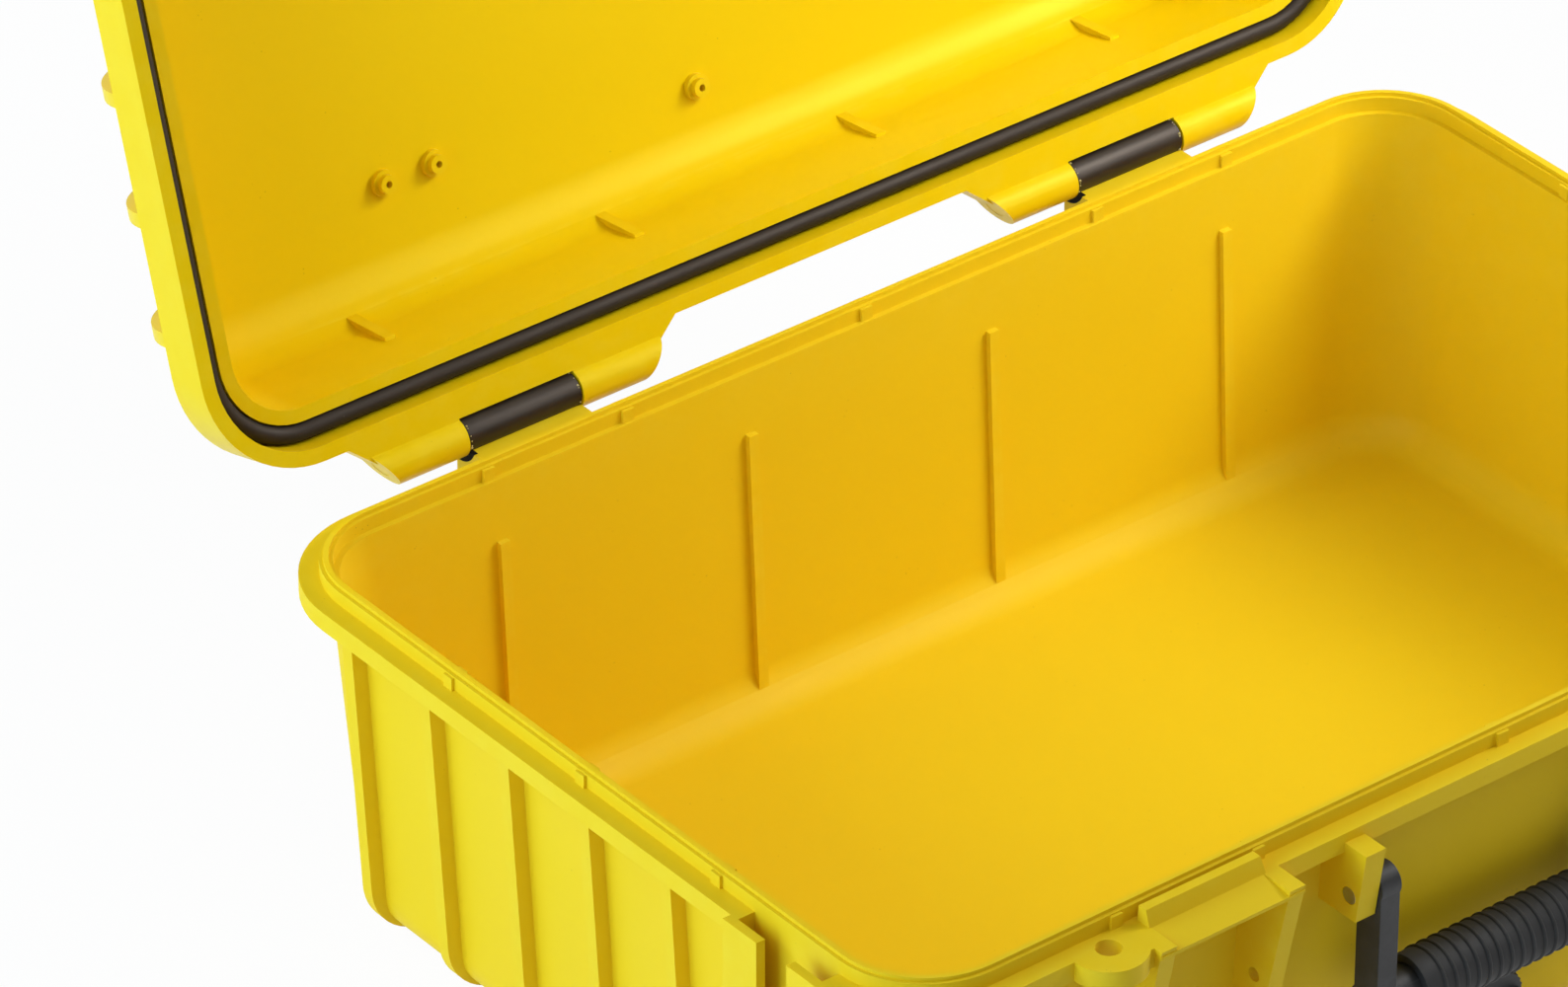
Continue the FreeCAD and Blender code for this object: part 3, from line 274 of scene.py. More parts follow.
class GrowthTree:
    """A geometry node tree with named sizes, which ends in one realised mesh with its finish."""

    BEAD_SIDES = 10
    BAR_STEPS = 9
    BAR_END_POWER = 7.0
    BAR_END_DRAW = 0.7

    def __init__(self, name: str, sizes: dict[str, float]) -> None:
        """Make the tree and its inputs.

        Args:
            name: Name of the tree.
            sizes: Default of each input, where a whole number is a count.
        """
        self.tree = bpy.data.node_groups.new(name, "GeometryNodeTree")
        panel = self.tree.interface
        panel.new_socket("Geometry", in_out="OUTPUT", socket_type="NodeSocketGeometry")
        self.keys: dict[str, str] = {}
        for title, default in sizes.items():
            kind = "NodeSocketInt" if isinstance(default, int) else FLOAT
            socket = panel.new_socket(title, in_out="INPUT", socket_type=kind)
            socket.default_value = default
            self.keys[title] = socket.identifier
        finish = panel.new_socket("Finish", in_out="INPUT", socket_type="NodeSocketMaterial")
        self.keys["Finish"] = finish.identifier
        self.nodes = Nodes(self.tree)
        self.sizes = self.nodes.add("NodeGroupInput").outputs

    def vector(self, x: object = 0.0, y: object = 0.0, z: object = 0.0) -> Socket:
        """Join three numbers or sockets into a vector."""
        return self.nodes.feed(self.nodes.add("ShaderNodeCombineXYZ"), X=x, Y=y, Z=z).outputs[0]

    def tube(self, curve: Socket, radius: object, sides: int) -> Socket:
        """Sweep a round section along a curve.

        Args:
            curve: The curve.
            radius: Radius of the section.
            sides: Points round the section.

        Returns:
            The swept mesh, with its ends closed.
        """
        section = self.nodes.add("GeometryNodeCurvePrimitiveCircle")
        self.nodes.feed(section, Resolution=sides, Radius=radius)
        sweep = self.nodes.add("GeometryNodeCurveToMesh")
        self.nodes.feed(sweep, Curve=curve, Profile_Curve=section.outputs["Curve"], Fill_Caps=True)
        return sweep.outputs["Mesh"]

    def pill(self, reach: Socket, radius: Socket) -> Socket:
        """Make a bar with drawn-in ends about the origin.

        Args:
            reach: Vector from its middle to its end.
            radius: Radius at its middle.

        Returns:
            The bar's mesh.
        """
        nodes = self.nodes
        line = nodes.add("GeometryNodeCurvePrimitiveLine")
        back = nodes.add("ShaderNodeVectorMath", operation="SCALE")
        nodes.feed(back, Vector=reach, Scale=-1.0)
        nodes.feed(line, Start=back.outputs[0], End=reach)
        steps = nodes.add("GeometryNodeResampleCurve")
        nodes.feed(steps, Curve=line.outputs["Curve"], Count=self.BAR_STEPS)
        along = nodes.add("GeometryNodeSplineParameter").outputs["Factor"]
        from_middle = nodes.math("SUBTRACT", nodes.math("MULTIPLY", along, 2.0), 1.0)
        bent = nodes.math("POWER", nodes.math("ABSOLUTE", from_middle), self.BAR_END_POWER)
        full = nodes.math("SUBTRACT", 1.0, nodes.math("MULTIPLY", bent, self.BAR_END_DRAW))
        drawn = nodes.add("GeometryNodeSetCurveRadius")
        nodes.feed(drawn, Curve=steps.outputs["Curve"], Radius=full)
        return self.tube(drawn.outputs["Curve"], radius, self.BEAD_SIDES)

    def repeat(self, points: Socket, shape: Socket) -> Socket:
        """Put a shape on every point."""
        spread = self.nodes.add("GeometryNodeInstanceOnPoints")
        return self.nodes.feed(spread, Points=points, Instance=shape).outputs["Instances"]

    def end(self, geometry: Socket) -> None:
        """Realise the result, shade it smooth and give it its finish."""
        nodes = self.nodes
        whole = nodes.feed(nodes.add("GeometryNodeRealizeInstances"), Geometry=geometry)
        smooth = nodes.feed(nodes.add("GeometryNodeSetShadeSmooth"), Geometry=whole.outputs[0])
        painted = nodes.feed(nodes.add("GeometryNodeSetMaterial"), Geometry=smooth.outputs[0],
                             Material=self.sizes["Finish"])
        nodes.feed(nodes.add("NodeGroupOutput"), Geometry=painted.outputs[0])


class Growth:
    """The trees of the case: a cord, rings on a bar, rows and crowns of small bars, and specks."""

    CORNER_STEPS = 20
    CORD_SIDES = 28
    RING_STEPS = 56
    SPECK_SCALES = (0.5, 1.5)
    SPECK_SUBDIVISIONS = 2

    def __init__(self) -> None:
        """Build each tree once."""
        self.cord = self._cord()
        self.rings = self._rings()
        self.row = self._row()
        self.crown = self._crown()
        self.specks = self._specks()

    def _cord(self) -> GrowthTree:
        """Build a round cord along a rectangle with round corners."""
        tree = GrowthTree("cord_round_frame", {"Length": 0.4, "Width": 0.3, "Corner": 0.03,
                                               "Cord": 0.003})
        nodes, sizes = tree.nodes, tree.sizes
        frame = nodes.add("GeometryNodeCurvePrimitiveQuadrilateral")
        nodes.feed(frame, Width=sizes["Length"], Height=sizes["Width"])
        path = nodes.add("GeometryNodeFilletCurve", mode="POLY")
        nodes.feed(path, Curve=frame.outputs["Curve"], Count=self.CORNER_STEPS, Radius=sizes["Corner"])
        tree.end(tree.tube(path.outputs["Curve"], sizes["Cord"], self.CORD_SIDES))
        return tree

    def _rings(self) -> GrowthTree:
        """Build soft rings side by side along X."""
        tree = GrowthTree("rings_on_bar", {"Count": 10, "Pitch": 0.005, "Bar": 0.01, "Bead": 0.0008})
        nodes, sizes = tree.nodes, tree.sizes
        circle = nodes.add("GeometryNodeCurvePrimitiveCircle")
        nodes.feed(circle, Resolution=self.RING_STEPS, Radius=sizes["Bar"])
        turned = nodes.add("GeometryNodeTransform")
        nodes.feed(turned, Geometry=circle.outputs["Curve"], Rotation=(0.0, QUARTER_TURN, 0.0))
        ring = tree.tube(turned.outputs["Geometry"], sizes["Bead"], tree.BEAD_SIDES)
        tree.end(tree.repeat(self._line(tree, lengthwise=True), ring))
        return tree

    def _row(self) -> GrowthTree:
        """Build bars along X, stepped along Y."""
        tree = GrowthTree("row_of_bars", {"Count": 5, "Pitch": 0.004, "Reach": 0.01, "Bead": 0.001})
        bar = tree.pill(tree.vector(x=tree.sizes["Reach"]), tree.sizes["Bead"])
        tree.end(tree.repeat(self._line(tree, lengthwise=False), bar))
        return tree

    def _crown(self) -> GrowthTree:
        """Build bars along Z, spread round a circle."""
        tree = GrowthTree("crown_of_bars", {"Count": 24, "Circle": 0.01, "Reach": 0.0015,
                                            "Bead": 0.0007})
        nodes, sizes = tree.nodes, tree.sizes
        circle = nodes.add("GeometryNodeMeshCircle")
        nodes.feed(circle, Vertices=sizes["Count"], Radius=sizes["Circle"])
        bar = tree.pill(tree.vector(z=sizes["Reach"]), sizes["Bead"])
        tree.end(tree.repeat(circle.outputs["Mesh"], bar))
        return tree

    def _specks(self) -> GrowthTree:
        """Build scattered specks round both ends of two bars that lie in line along X."""
        tree = GrowthTree("specks_on_bar_ends", {"Count": 30, "Bar": 0.006, "Length": 0.04,
                                                 "Spread": 0.2, "Share": 0.2, "Speck": 0.0002,
                                                 "Seed": 3})
        nodes, sizes = tree.nodes, tree.sizes
        circle = nodes.add("GeometryNodeMeshCircle")
        nodes.feed(circle, Vertices=sizes["Count"], Radius=sizes["Bar"])
        turned = nodes.add("GeometryNodeTransform")
        nodes.feed(turned, Geometry=circle.outputs["Mesh"], Rotation=(0.0, QUARTER_TURN, 0.0))
        ring = turned.outputs["Geometry"]
        for distance in (sizes["Length"], sizes["Spread"]):
            half = nodes.math("MULTIPLY", distance, 0.5)
            line = nodes.add("GeometryNodeMeshLine")
            nodes.feed(line, Count=2, Start_Location=tree.vector(x=nodes.math("MULTIPLY", half, -1.0)),
                       Offset=tree.vector(x=distance))
            pair = nodes.feed(nodes.add("GeometryNodeRealizeInstances"),
                              Geometry=tree.repeat(line.outputs["Mesh"], ring))
            ring = pair.outputs[0]
        chosen = nodes.add("FunctionNodeRandomValue", data_type="BOOLEAN")
        nodes.feed(chosen, Probability=sizes["Share"], Seed=sizes["Seed"])
        size = nodes.add("FunctionNodeRandomValue", data_type="FLOAT")
        # A random value has one set of sockets per type under the same names, so they go by number.
        size.inputs[2].default_value, size.inputs[3].default_value = self.SPECK_SCALES
        nodes.feed(size, Seed=nodes.math("ADD", sizes["Seed"], 1.0))
        ball = nodes.add("GeometryNodeMeshIcoSphere")
        nodes.feed(ball, Radius=sizes["Speck"], Subdivisions=self.SPECK_SUBDIVISIONS)
        spread = nodes.add("GeometryNodeInstanceOnPoints")
        nodes.feed(spread, Points=ring, Selection=chosen.outputs[3], Instance=ball.outputs["Mesh"],
                   Scale=size.outputs[1])
        tree.end(spread.outputs["Instances"])
        return tree

    def _line(self, tree: GrowthTree, lengthwise: bool) -> Socket:
        """Spread points a pitch apart about the origin.

        Args:
            tree: Tree with a Count and a Pitch.
            lengthwise: Along X if true, and along Y otherwise.

        Returns:
            The points.
        """
        nodes, sizes = tree.nodes, tree.sizes
        gaps = nodes.math("SUBTRACT", sizes["Count"], 1.0)
        first = nodes.math("MULTIPLY", nodes.math("MULTIPLY", gaps, sizes["Pitch"]), -0.5)
        axis = "x" if lengthwise else "y"
        line = nodes.add("GeometryNodeMeshLine")
        nodes.feed(line, Count=sizes["Count"], Start_Location=tree.vector(**{axis: first}),
                   Offset=tree.vector(**{axis: sizes["Pitch"]}))
        return line.outputs["Mesh"]


class Effects:
    """The shared surface effects: moulded grain, handling scuffs with a painted highlight on convex
    edges, and settled dust.
    """

    WORN_FROM_TO = (0.35, 0.7)
    SPECK_FROM_TO = (0.04, 0.13)
    FILM_FROM_TO = (0.35, 0.75)
    PATCH_SCALE = 60.0
    PATCH_EDGE = 0.08

    def __init__(self) -> None:
        """Build each group once."""
        self.grain = self._grain()
        self.wear = self._wear()
        self.dust = self._dust()

    def _grain(self) -> EffectGroup:
        """Build the fine skin of a moulding.

        Returns:
            A group that puts out a height and a slow drift.
        """
        group = EffectGroup("moulded_grain", {"Scale": 900.0, "Drift Scale": 9.0}, ("Height", "Drift"))
        nodes = group.nodes
        where = nodes.add("ShaderNodeTexCoord").outputs["Object"]
        fine = nodes.noise(where, group.inputs["Scale"], detail=3.0)
        slow = nodes.noise(where, group.inputs["Drift Scale"])
        group.give(Height=fine, Drift=slow)
        return group

    def _wear(self) -> EffectGroup:
        """Build scuffs along the edges that the mesh marks, whose paler colour is also a painted edge
        highlight.

        Returns:
            A group that puts out a mask.
        """
        group = EffectGroup("edge_wear", {"Scale": 120.0, "Amount": 0.5}, ("Mask",))
        nodes = group.nodes
        where = nodes.add("ShaderNodeTexCoord").outputs["Object"]
        edge = nodes.add("ShaderNodeAttribute", attribute_name="edge").outputs["Fac"]
        patches = nodes.noise(where, group.inputs["Scale"], detail=4.0)
        worn = nodes.math("MULTIPLY", edge, nodes.ramp(patches, *self.WORN_FROM_TO))
        group.give(Mask=nodes.math("MULTIPLY", worn, group.inputs["Amount"]))
        return group

    def _dust(self) -> EffectGroup:
        """Build sparse specks and a faint film.

        Returns:
            A group that puts out specks and film.
        """
        group = EffectGroup("settled_dust",
                            {"Speck Scale": 420.0, "Film Scale": 14.0, "Rarity": 0.62},
                            ("Specks", "Film"))
        nodes = group.nodes
        where = nodes.add("ShaderNodeTexCoord").outputs["Object"]
        cells = nodes.add("ShaderNodeTexVoronoi", feature="F1")
        nodes.feed(cells, Vector=where, Scale=group.inputs["Speck Scale"])
        far = nodes.ramp(cells.outputs["Distance"], *self.SPECK_FROM_TO)
        near = nodes.math("SUBTRACT", 1.0, far)
        rarity = group.inputs["Rarity"]
        full = nodes.math("ADD", rarity, self.PATCH_EDGE)
        rare = nodes.ramp(nodes.noise(where, self.PATCH_SCALE), rarity, full)
        clouds = nodes.noise(where, group.inputs["Film Scale"], detail=4.0)
        film = nodes.ramp(clouds, *self.FILM_FROM_TO)
        group.give(Specks=nodes.math("MULTIPLY", near, rare), Film=film)
        return group


def blank_material(name: str) -> tuple[Material, Nodes]:
    """Make a material with an empty tree.

    Args:
        name: Name of the material.

    Returns:
        The material, and the helper of its tree.
    """
    material = bpy.data.materials.new(name)
    material.use_nodes = True
    material.node_tree.nodes.clear()
    return material, Nodes(material.node_tree)


@dataclass(frozen=True)
class MouldedFinish:
    """A moulded plastic or rubber skin."""

    name: str
    colour: RGBA
    tint: RGBA
    worn: RGBA
    speck: RGBA
    roughness: float
    grain_scale: float = 900.0
    grain_height: float = 0.00003
    drift_scale: float = 9.0
    bump: float = 0.6
    wear: float = 0.5
    wear_roughness: float = 0.15
    specks: float = 0.35
    speck_scale: float = 420.0
    rarity: float = 0.62
    film: float = 0.08
    ior: float = 1.5
    specular: float = 0.5
    gloss_tint: RGBA = WHITE

    def build(self, effects: Effects) -> Material:
        """Make the material.

        Args:
            effects: Shared surface effects.

        Returns:
            The finished material.
        """
        material, nodes = blank_material(self.name)
        grain = effects.grain.place(nodes, Scale=self.grain_scale, Drift_Scale=self.drift_scale)
        wear = effects.wear.place(nodes, Amount=self.wear)
        dust = effects.dust.place(nodes, Speck_Scale=self.speck_scale, Rarity=self.rarity)
        shade = nodes.mix(grain.outputs["Drift"], self.colour, self.tint)
        # Convex edges turn paler: handling scuffs and a painted highlight along them.
        shade = nodes.mix(wear.outputs["Mask"], shade, self.worn)
        specks = nodes.math("MULTIPLY", dust.outputs["Specks"], self.specks)
        shade = nodes.mix(specks, shade, self.speck)
        film = nodes.math("MULTIPLY", dust.outputs["Film"], self.film)
        scuffed = nodes.math("MULTIPLY", wear.outputs["Mask"], self.wear_roughness)
        rough = nodes.math("ADD", nodes.math("ADD", self.roughness, film), scuffed)
        bump = nodes.add("ShaderNodeBump")
        nodes.feed(bump, Strength=self.bump, Distance=self.grain_height, Height=grain.outputs["Height"])
        shader = nodes.add("ShaderNodeBsdfPrincipled")
        nodes.feed(shader, Base_Color=shade, Roughness=rough, Normal=bump.outputs["Normal"],
                   IOR=self.ior, Specular_IOR_Level=self.specular, Specular_Tint=self.gloss_tint)
        nodes.surface(shader.outputs["BSDF"])
        return material


@dataclass(frozen=True)
class SteelFinish:
    """Drawn stainless rod."""

    name: str
    colour: RGBA
    dusty: RGBA
    roughness: float = 0.28
    streak_scale: Point = (40.0, 2200.0, 2200.0)
    streak_roughness: float = 0.2
    streak_height: float = 0.00002
    bump: float = 0.3
    film: float = 0.3

    def build(self, effects: Effects) -> Material:
        """Make the material.

        Args:
            effects: Shared surface effects.

        Returns:
            The finished material.
        """
        material, nodes = blank_material(self.name)
        where = nodes.add("ShaderNodeTexCoord").outputs["Object"]
        stretch = nodes.add("ShaderNodeMapping")
        nodes.feed(stretch, Vector=where, Scale=self.streak_scale)
        streak = nodes.noise(stretch.outputs["Vector"], 1.0, detail=3.0)
        dust = effects.dust.place(nodes)
        uneven = nodes.math("MULTIPLY", streak, self.streak_roughness)
        rough = nodes.math("ADD", self.roughness, uneven)
        film = nodes.math("MULTIPLY", dust.outputs["Film"], self.film)
        shade = nodes.mix(film, self.colour, self.dusty)
        bump = nodes.add("ShaderNodeBump")
        nodes.feed(bump, Strength=self.bump, Distance=self.streak_height, Height=streak)
        shader = nodes.add("ShaderNodeBsdfPrincipled")
        nodes.feed(shader, Base_Color=shade, Roughness=rough, Normal=bump.outputs["Normal"],
                   Metallic=1.0)
        nodes.surface(shader.outputs["BSDF"])
        return material


class Palette:
    """Every finish of the case."""

    def __init__(self) -> None:
        """Build the materials."""
        effects = Effects()
        # Each finish's third colour is its paler edge colour: handling scuffs and a painted edge
        # highlight.
        yellow = (linear(239, 203, 6), linear(237, 198, 4), linear(244, 220, 60), linear(110, 78, 10))
        warm = (1.0, 0.84, 0.7, 1.0)
        self.lid = MouldedFinish(
            "moulded_yellow", *yellow, roughness=0.34, wear=0.35, specks=0.5,
            specular=0.35, gloss_tint=(1.0, 0.97, 0.12, 1.0)).build(effects)
        self.base = MouldedFinish(
            "moulded_yellow_satin", *yellow, roughness=0.62, wear=0.35, specks=0.5,
            specular=0.42, gloss_tint=(1.0, 0.98, 0.7, 1.0)).build(effects)
        self.seal = MouldedFinish(
            "seal_rubber", linear(34, 28, 24), linear(40, 33, 28), linear(66, 57, 48),
            linear(120, 112, 102), roughness=0.5, specular=0.35, gloss_tint=warm,
            grain_scale=1500.0, drift_scale=40.0, wear=0.3, film=0.12).build(effects)
        self.bush = MouldedFinish(
            "bush_nylon", linear(30, 25, 21), linear(36, 30, 26), linear(70, 61, 50),
            linear(214, 204, 170), roughness=0.38, specular=0.45, gloss_tint=warm,
            grain_scale=1400.0, drift_scale=60.0, wear=0.3, specks=0.9, speck_scale=800.0,
            rarity=0.6).build(effects)
        # Darker and duller than the bush, as the lip is partly painted shade of the gap at the bush's
        # end.
        self.lip = MouldedFinish(
            "bush_lip_black", linear(16, 13, 11), linear(20, 17, 14), linear(34, 29, 24),
            linear(60, 54, 46), roughness=0.75, specular=0.12, gloss_tint=warm,
            grain_scale=1400.0, wear=0.2).build(effects)
        self.flash = MouldedFinish(
            "bush_flash", linear(206, 192, 128), linear(190, 172, 104), linear(220, 210, 160),
            linear(120, 100, 60), roughness=0.6, grain_scale=2600.0, wear=0.3).build(effects)
        self.fitting = MouldedFinish(
            "fitting_black", linear(34, 34, 35), linear(40, 40, 41), linear(82, 82, 84),
            linear(120, 118, 112), roughness=0.48, grain_scale=700.0,
            grain_height=0.00006).build(effects)
        self.grip = MouldedFinish(
            "grip_rubber_black", linear(30, 30, 31), linear(36, 36, 36), linear(64, 64, 64),
            linear(110, 108, 104), roughness=0.62, grain_scale=1600.0, wear=0.4,
            film=0.12).build(effects)
        self.steel = SteelFinish(
            "drawn_steel", linear(196, 197, 200), dusty=linear(120, 116, 110)).build(effects)


class Workshop:
    """Turns meshes into finished pieces that ride on their bodies."""

    MERGE_DISTANCE = 1e-6
    FLAT_ANGLE = math.radians(0.4)
    SHARP_ANGLE = math.radians(30.0)
    SOFT_STEPS = 2
    WEAR_ANGLE = math.radians(20)
    WEAR_START = 0.7

    def __init__(self, frame: dict) -> None:
        """Keep the loaded frame."""
        self.frame = frame

    def add(self, name: str, mesh: bpy.types.Mesh, material: Material) -> Piece:
        """Put a mesh in the scene.

        Args:
            name: Name of the piece.
            mesh: Its mesh, in place.
            material: Its only material.

        Returns:
            The new object.
        """
        piece = bpy.data.objects.new(name, mesh)
        bpy.context.scene.collection.objects.link(piece)
        mesh.materials.clear()
        mesh.materials.append(material)
        return piece

    def settle(self, piece: Piece, body: str, slot: Slot, *nodes: str) -> None:
        """Let a finished piece ride on a body and stand for CAD nodes.

        Args:
            piece: The piece.
            body: Name of the body.
            slot: Its record slot, not used.
            nodes: CAD nodes that it replaces.
        """
        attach(piece, body)
        if nodes:
            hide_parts(*nodes)
        LOG.info("%s rides on %s", piece.name, body)

    def bake(self, piece: Piece) -> None:
        """Turn a piece's live modifiers into plain mesh."""
        depsgraph = bpy.context.evaluated_depsgraph_get()
        plain = bpy.data.meshes.new_from_object(piece.evaluated_get(depsgraph))
        piece.modifiers.clear()
        piece.data = plain

    def grow(self, name: str, tree: GrowthTree, material: Material, place: Matrix,
             **sizes: float) -> Piece:
        """Run a tree and put its result in place as plain mesh.

        Args:
            name: Name of the piece.
            tree: Tree to run.
            material: Finish of the piece.
            place: Where the result goes.
            sizes: Inputs of the tree.

        Returns:
            The new piece.
        """
        piece = bpy.data.objects.new(name, bpy.data.meshes.new(name))
        bpy.context.scene.collection.objects.link(piece)
        growth = piece.modifiers.new("growth", "NODES")
        growth.node_group = tree.tree
        for title, value in sizes.items():
            growth[tree.keys[title]] = value
        growth[tree.keys["Finish"]] = material
        self.bake(piece)
        piece.data.transform(place)
        self.mark_edges(piece.data)
        return piece

    def clean_copy(self, node: str) -> bpy.types.Mesh:
        """Copy a CAD node's mesh with its loose triangles merged.

        Args:
            node: Name of the node.

        Returns:
            A closed mesh with flat areas as single faces.
        """
        mesh = self.frame["nodes"][node].data.copy()
        work = bmesh.new()
        work.from_mesh(mesh)
        bmesh.ops.remove_doubles(work, verts=work.verts, dist=self.MERGE_DISTANCE)
        bmesh.ops.dissolve_limit(work, angle_limit=self.FLAT_ANGLE, verts=work.verts, edges=work.edges)
        work.to_mesh(mesh)
        work.free()
        return mesh

    def softened(self, name: str, node: str, material: Material, width: float) -> Piece:
        """Copy a CAD node and round its sharp edges as a moulding has them.

        Args:
            name: Name of the piece.
            node: CAD node to copy.
            material: Finish of the piece.
            width: Width of the rounding in metres.

        Returns:
            The softened piece.
        """
        piece = self.add(name, self.clean_copy(node), material)
        soft = piece.modifiers.new("soft_edges", "BEVEL")
        soft.width = width
        soft.segments = self.SOFT_STEPS
        soft.limit_method = "ANGLE"
        soft.angle_limit = self.SHARP_ANGLE
        soft.miter_outer = "MITER_ARC"
        self.bake(piece)
        self.shade(piece)
        self.mark_edges(piece.data)
        return piece

    def shade(self, piece: Piece) -> None:
        """Shade a piece smooth, apart from its sharp edges, by face area."""
        mesh = piece.data
        mesh.shade_smooth()
        mesh.set_sharp_from_angle(angle=self.SHARP_ANGLE)
        weighted = piece.modifiers.new("face_weight", "WEIGHTED_NORMAL")
        weighted.keep_sharp = True
        self.bake(piece)

    def mark_edges(self, mesh: bpy.types.Mesh) -> None:
        """Store how convex each vertex is, for the scuffing and painted edge highlight of the finish.

        Args:
            mesh: Mesh that gets the float attribute edge.
        """
        work = bmesh.new()
        work.from_mesh(mesh)
        layer = work.verts.layers.float.new("edge")
        for vertex in work.verts:
            bend = 0.0
            for edge in vertex.link_edges:
                if len(edge.link_faces) == 2:
                    bend = max(bend, edge.calc_face_angle_signed(0.0))
            vertex[layer] = min(max(bend / self.WEAR_ANGLE - self.WEAR_START, 0.0), 1.0)
        work.to_mesh(mesh)
        work.free()


@dataclass
class Shells:
    """Base and lid mouldings."""

    shop: Workshop
    palette: Palette
    edge: float = 0.5 * MM

    def build(self) -> None:
        """Make both shells."""
        for body, finish in (("base", self.palette.base), ("lid", self.palette.lid)):
            node = f"{body}_shell"
            piece = self.shop.softened(f"{node}_moulding", node, finish, self.edge)
            self.shop.settle(piece, body, Slot.SHELL, node)


@dataclass(frozen=True)
class Swing:
    """A turn about an axis along the case, as the lid and the latches make."""

    back: float
    height: float
    degrees: float

    def matrix(self) -> Matrix:
        """Give the turn as a matrix."""
        pivot = Matrix.Translation((0.0, self.back, self.height))
        return pivot @ Matrix.Rotation(math.radians(-self.degrees), 4, "X") @ pivot.inverted()


LID_SWING = Swing(178.0 * MM, 134.0 * MM, 106.0)
LATCH_SWING = Swing(-182.0 * MM, 142.8 * MM, 150.0)


@dataclass
class SealCord:
    """The round seal in the lid's groove, laid with the lid shut and turned open."""

    shop: Workshop
    palette: Palette
    growth: Growth
    length: float = 470.8 * MM
    width: float = 315.4 * MM
    corner: float = 31.1 * MM
    cord: float = 3.15 * MM
    height: float = 140.6 * MM

    def build(self) -> None:
        """Make the cord."""
        place = LID_SWING.matrix() @ Matrix.Translation((0.0, 0.0, self.height))
        piece = self.shop.grow("lid_gasket_cord", self.growth.cord, self.palette.seal, place,
                               Length=self.length, Width=self.width, Corner=self.corner, Cord=self.cord)
        self.shop.settle(piece, "lid", Slot.SEAL, "lid_gasket")


@dataclass(frozen=True)
class ValveBars:
    """Sizes of one crown of bars on the valve."""

    name: str
    body: str
    front: float
    count: int
    circle: float
    reach: float
    bead: float


VALVE_BARS = (
    ValveBars("valve_knob_bars", "valve_knob", -162.5 * MM, 28, 9.8 * MM, 1.5 * MM, 0.6 * MM),
    ValveBars("valve_nut_bars", "base", -143.1 * MM, 8, 11.7 * MM, 1.9 * MM, 1.3 * MM),
)


@dataclass
class GripTexture:
    """Raised grip on what fingers touch: rings on the handle, ridges on latches, bars on the valve."""

    shop: Workshop
    palette: Palette
    growth: Growth
    bar_front: float = -169.2 * MM
    bar_height: float = 62.8 * MM
    bar_radius: float = 10.3 * MM
    ring_count: int = 17
    ring_pitch: float = 4.6 * MM
    ring_bead: float = 0.8 * MM
    latch_place: float = 126.0 * MM
    latch_face: float = -185.4 * MM
    latch_middle: float = 97.0 * MM
    ridge_count: int = 6
    ridge_pitch: float = 4.4 * MM
    ridge_reach: float = 14.0 * MM
    ridge_bead: float = 0.9 * MM
    valve_height: float = 34.0 * MM

    def build(self) -> None:
        """Make every grip."""
        self._handle()
        for side in Side:
            self._latch(side)
        self._valve()

    def _handle(self) -> None:
        """Ring the soft grip of the handle."""
        place = Matrix.Translation((0.0, self.bar_front, self.bar_height))
        piece = self.shop.grow("handle_grip_rings", self.growth.rings, self.palette.grip, place,
                               Count=self.ring_count, Pitch=self.ring_pitch, Bar=self.bar_radius,
                               Bead=self.ring_bead)
        self.shop.settle(piece, "handle", Slot.GRIP)

    def _latch(self, side: Side) -> None:
        """Put finger ridges on a latch.

        Args:
            side: Which latch.
        """
        face = Matrix(((1, 0, 0), (0, 0, -1), (0, 1, 0))).to_4x4()
        middle = (side.value * self.latch_place, self.latch_face, self.latch_middle)
        shut = Matrix.Translation(middle) @ face
        place = LID_SWING.matrix() @ LATCH_SWING.matrix() @ shut
        name = f"latch_ridges_{side.word}"
        piece = self.shop.grow(name, self.growth.row, self.palette.fitting, place,
                               Count=self.ridge_count, Pitch=self.ridge_pitch, Reach=self.ridge_reach,
                               Bead=self.ridge_bead)
        self.shop.settle(piece, f"latch_{side.word}", Slot.LATCH)

    def _valve(self) -> None:
        """Put bars round the valve's knob and its nut."""
        facing_front = Matrix.Rotation(QUARTER_TURN, 4, "X")
        for bars in VALVE_BARS:
            place = Matrix.Translation((0.0, bars.front, self.valve_height)) @ facing_front
            piece = self.shop.grow(bars.name, self.growth.crown, self.palette.fitting, place,
                                   Count=bars.count, Circle=bars.circle, Reach=bars.reach,
                                   Bead=bars.bead)
            self.shop.settle(piece, bars.body, Slot.HANDLE)


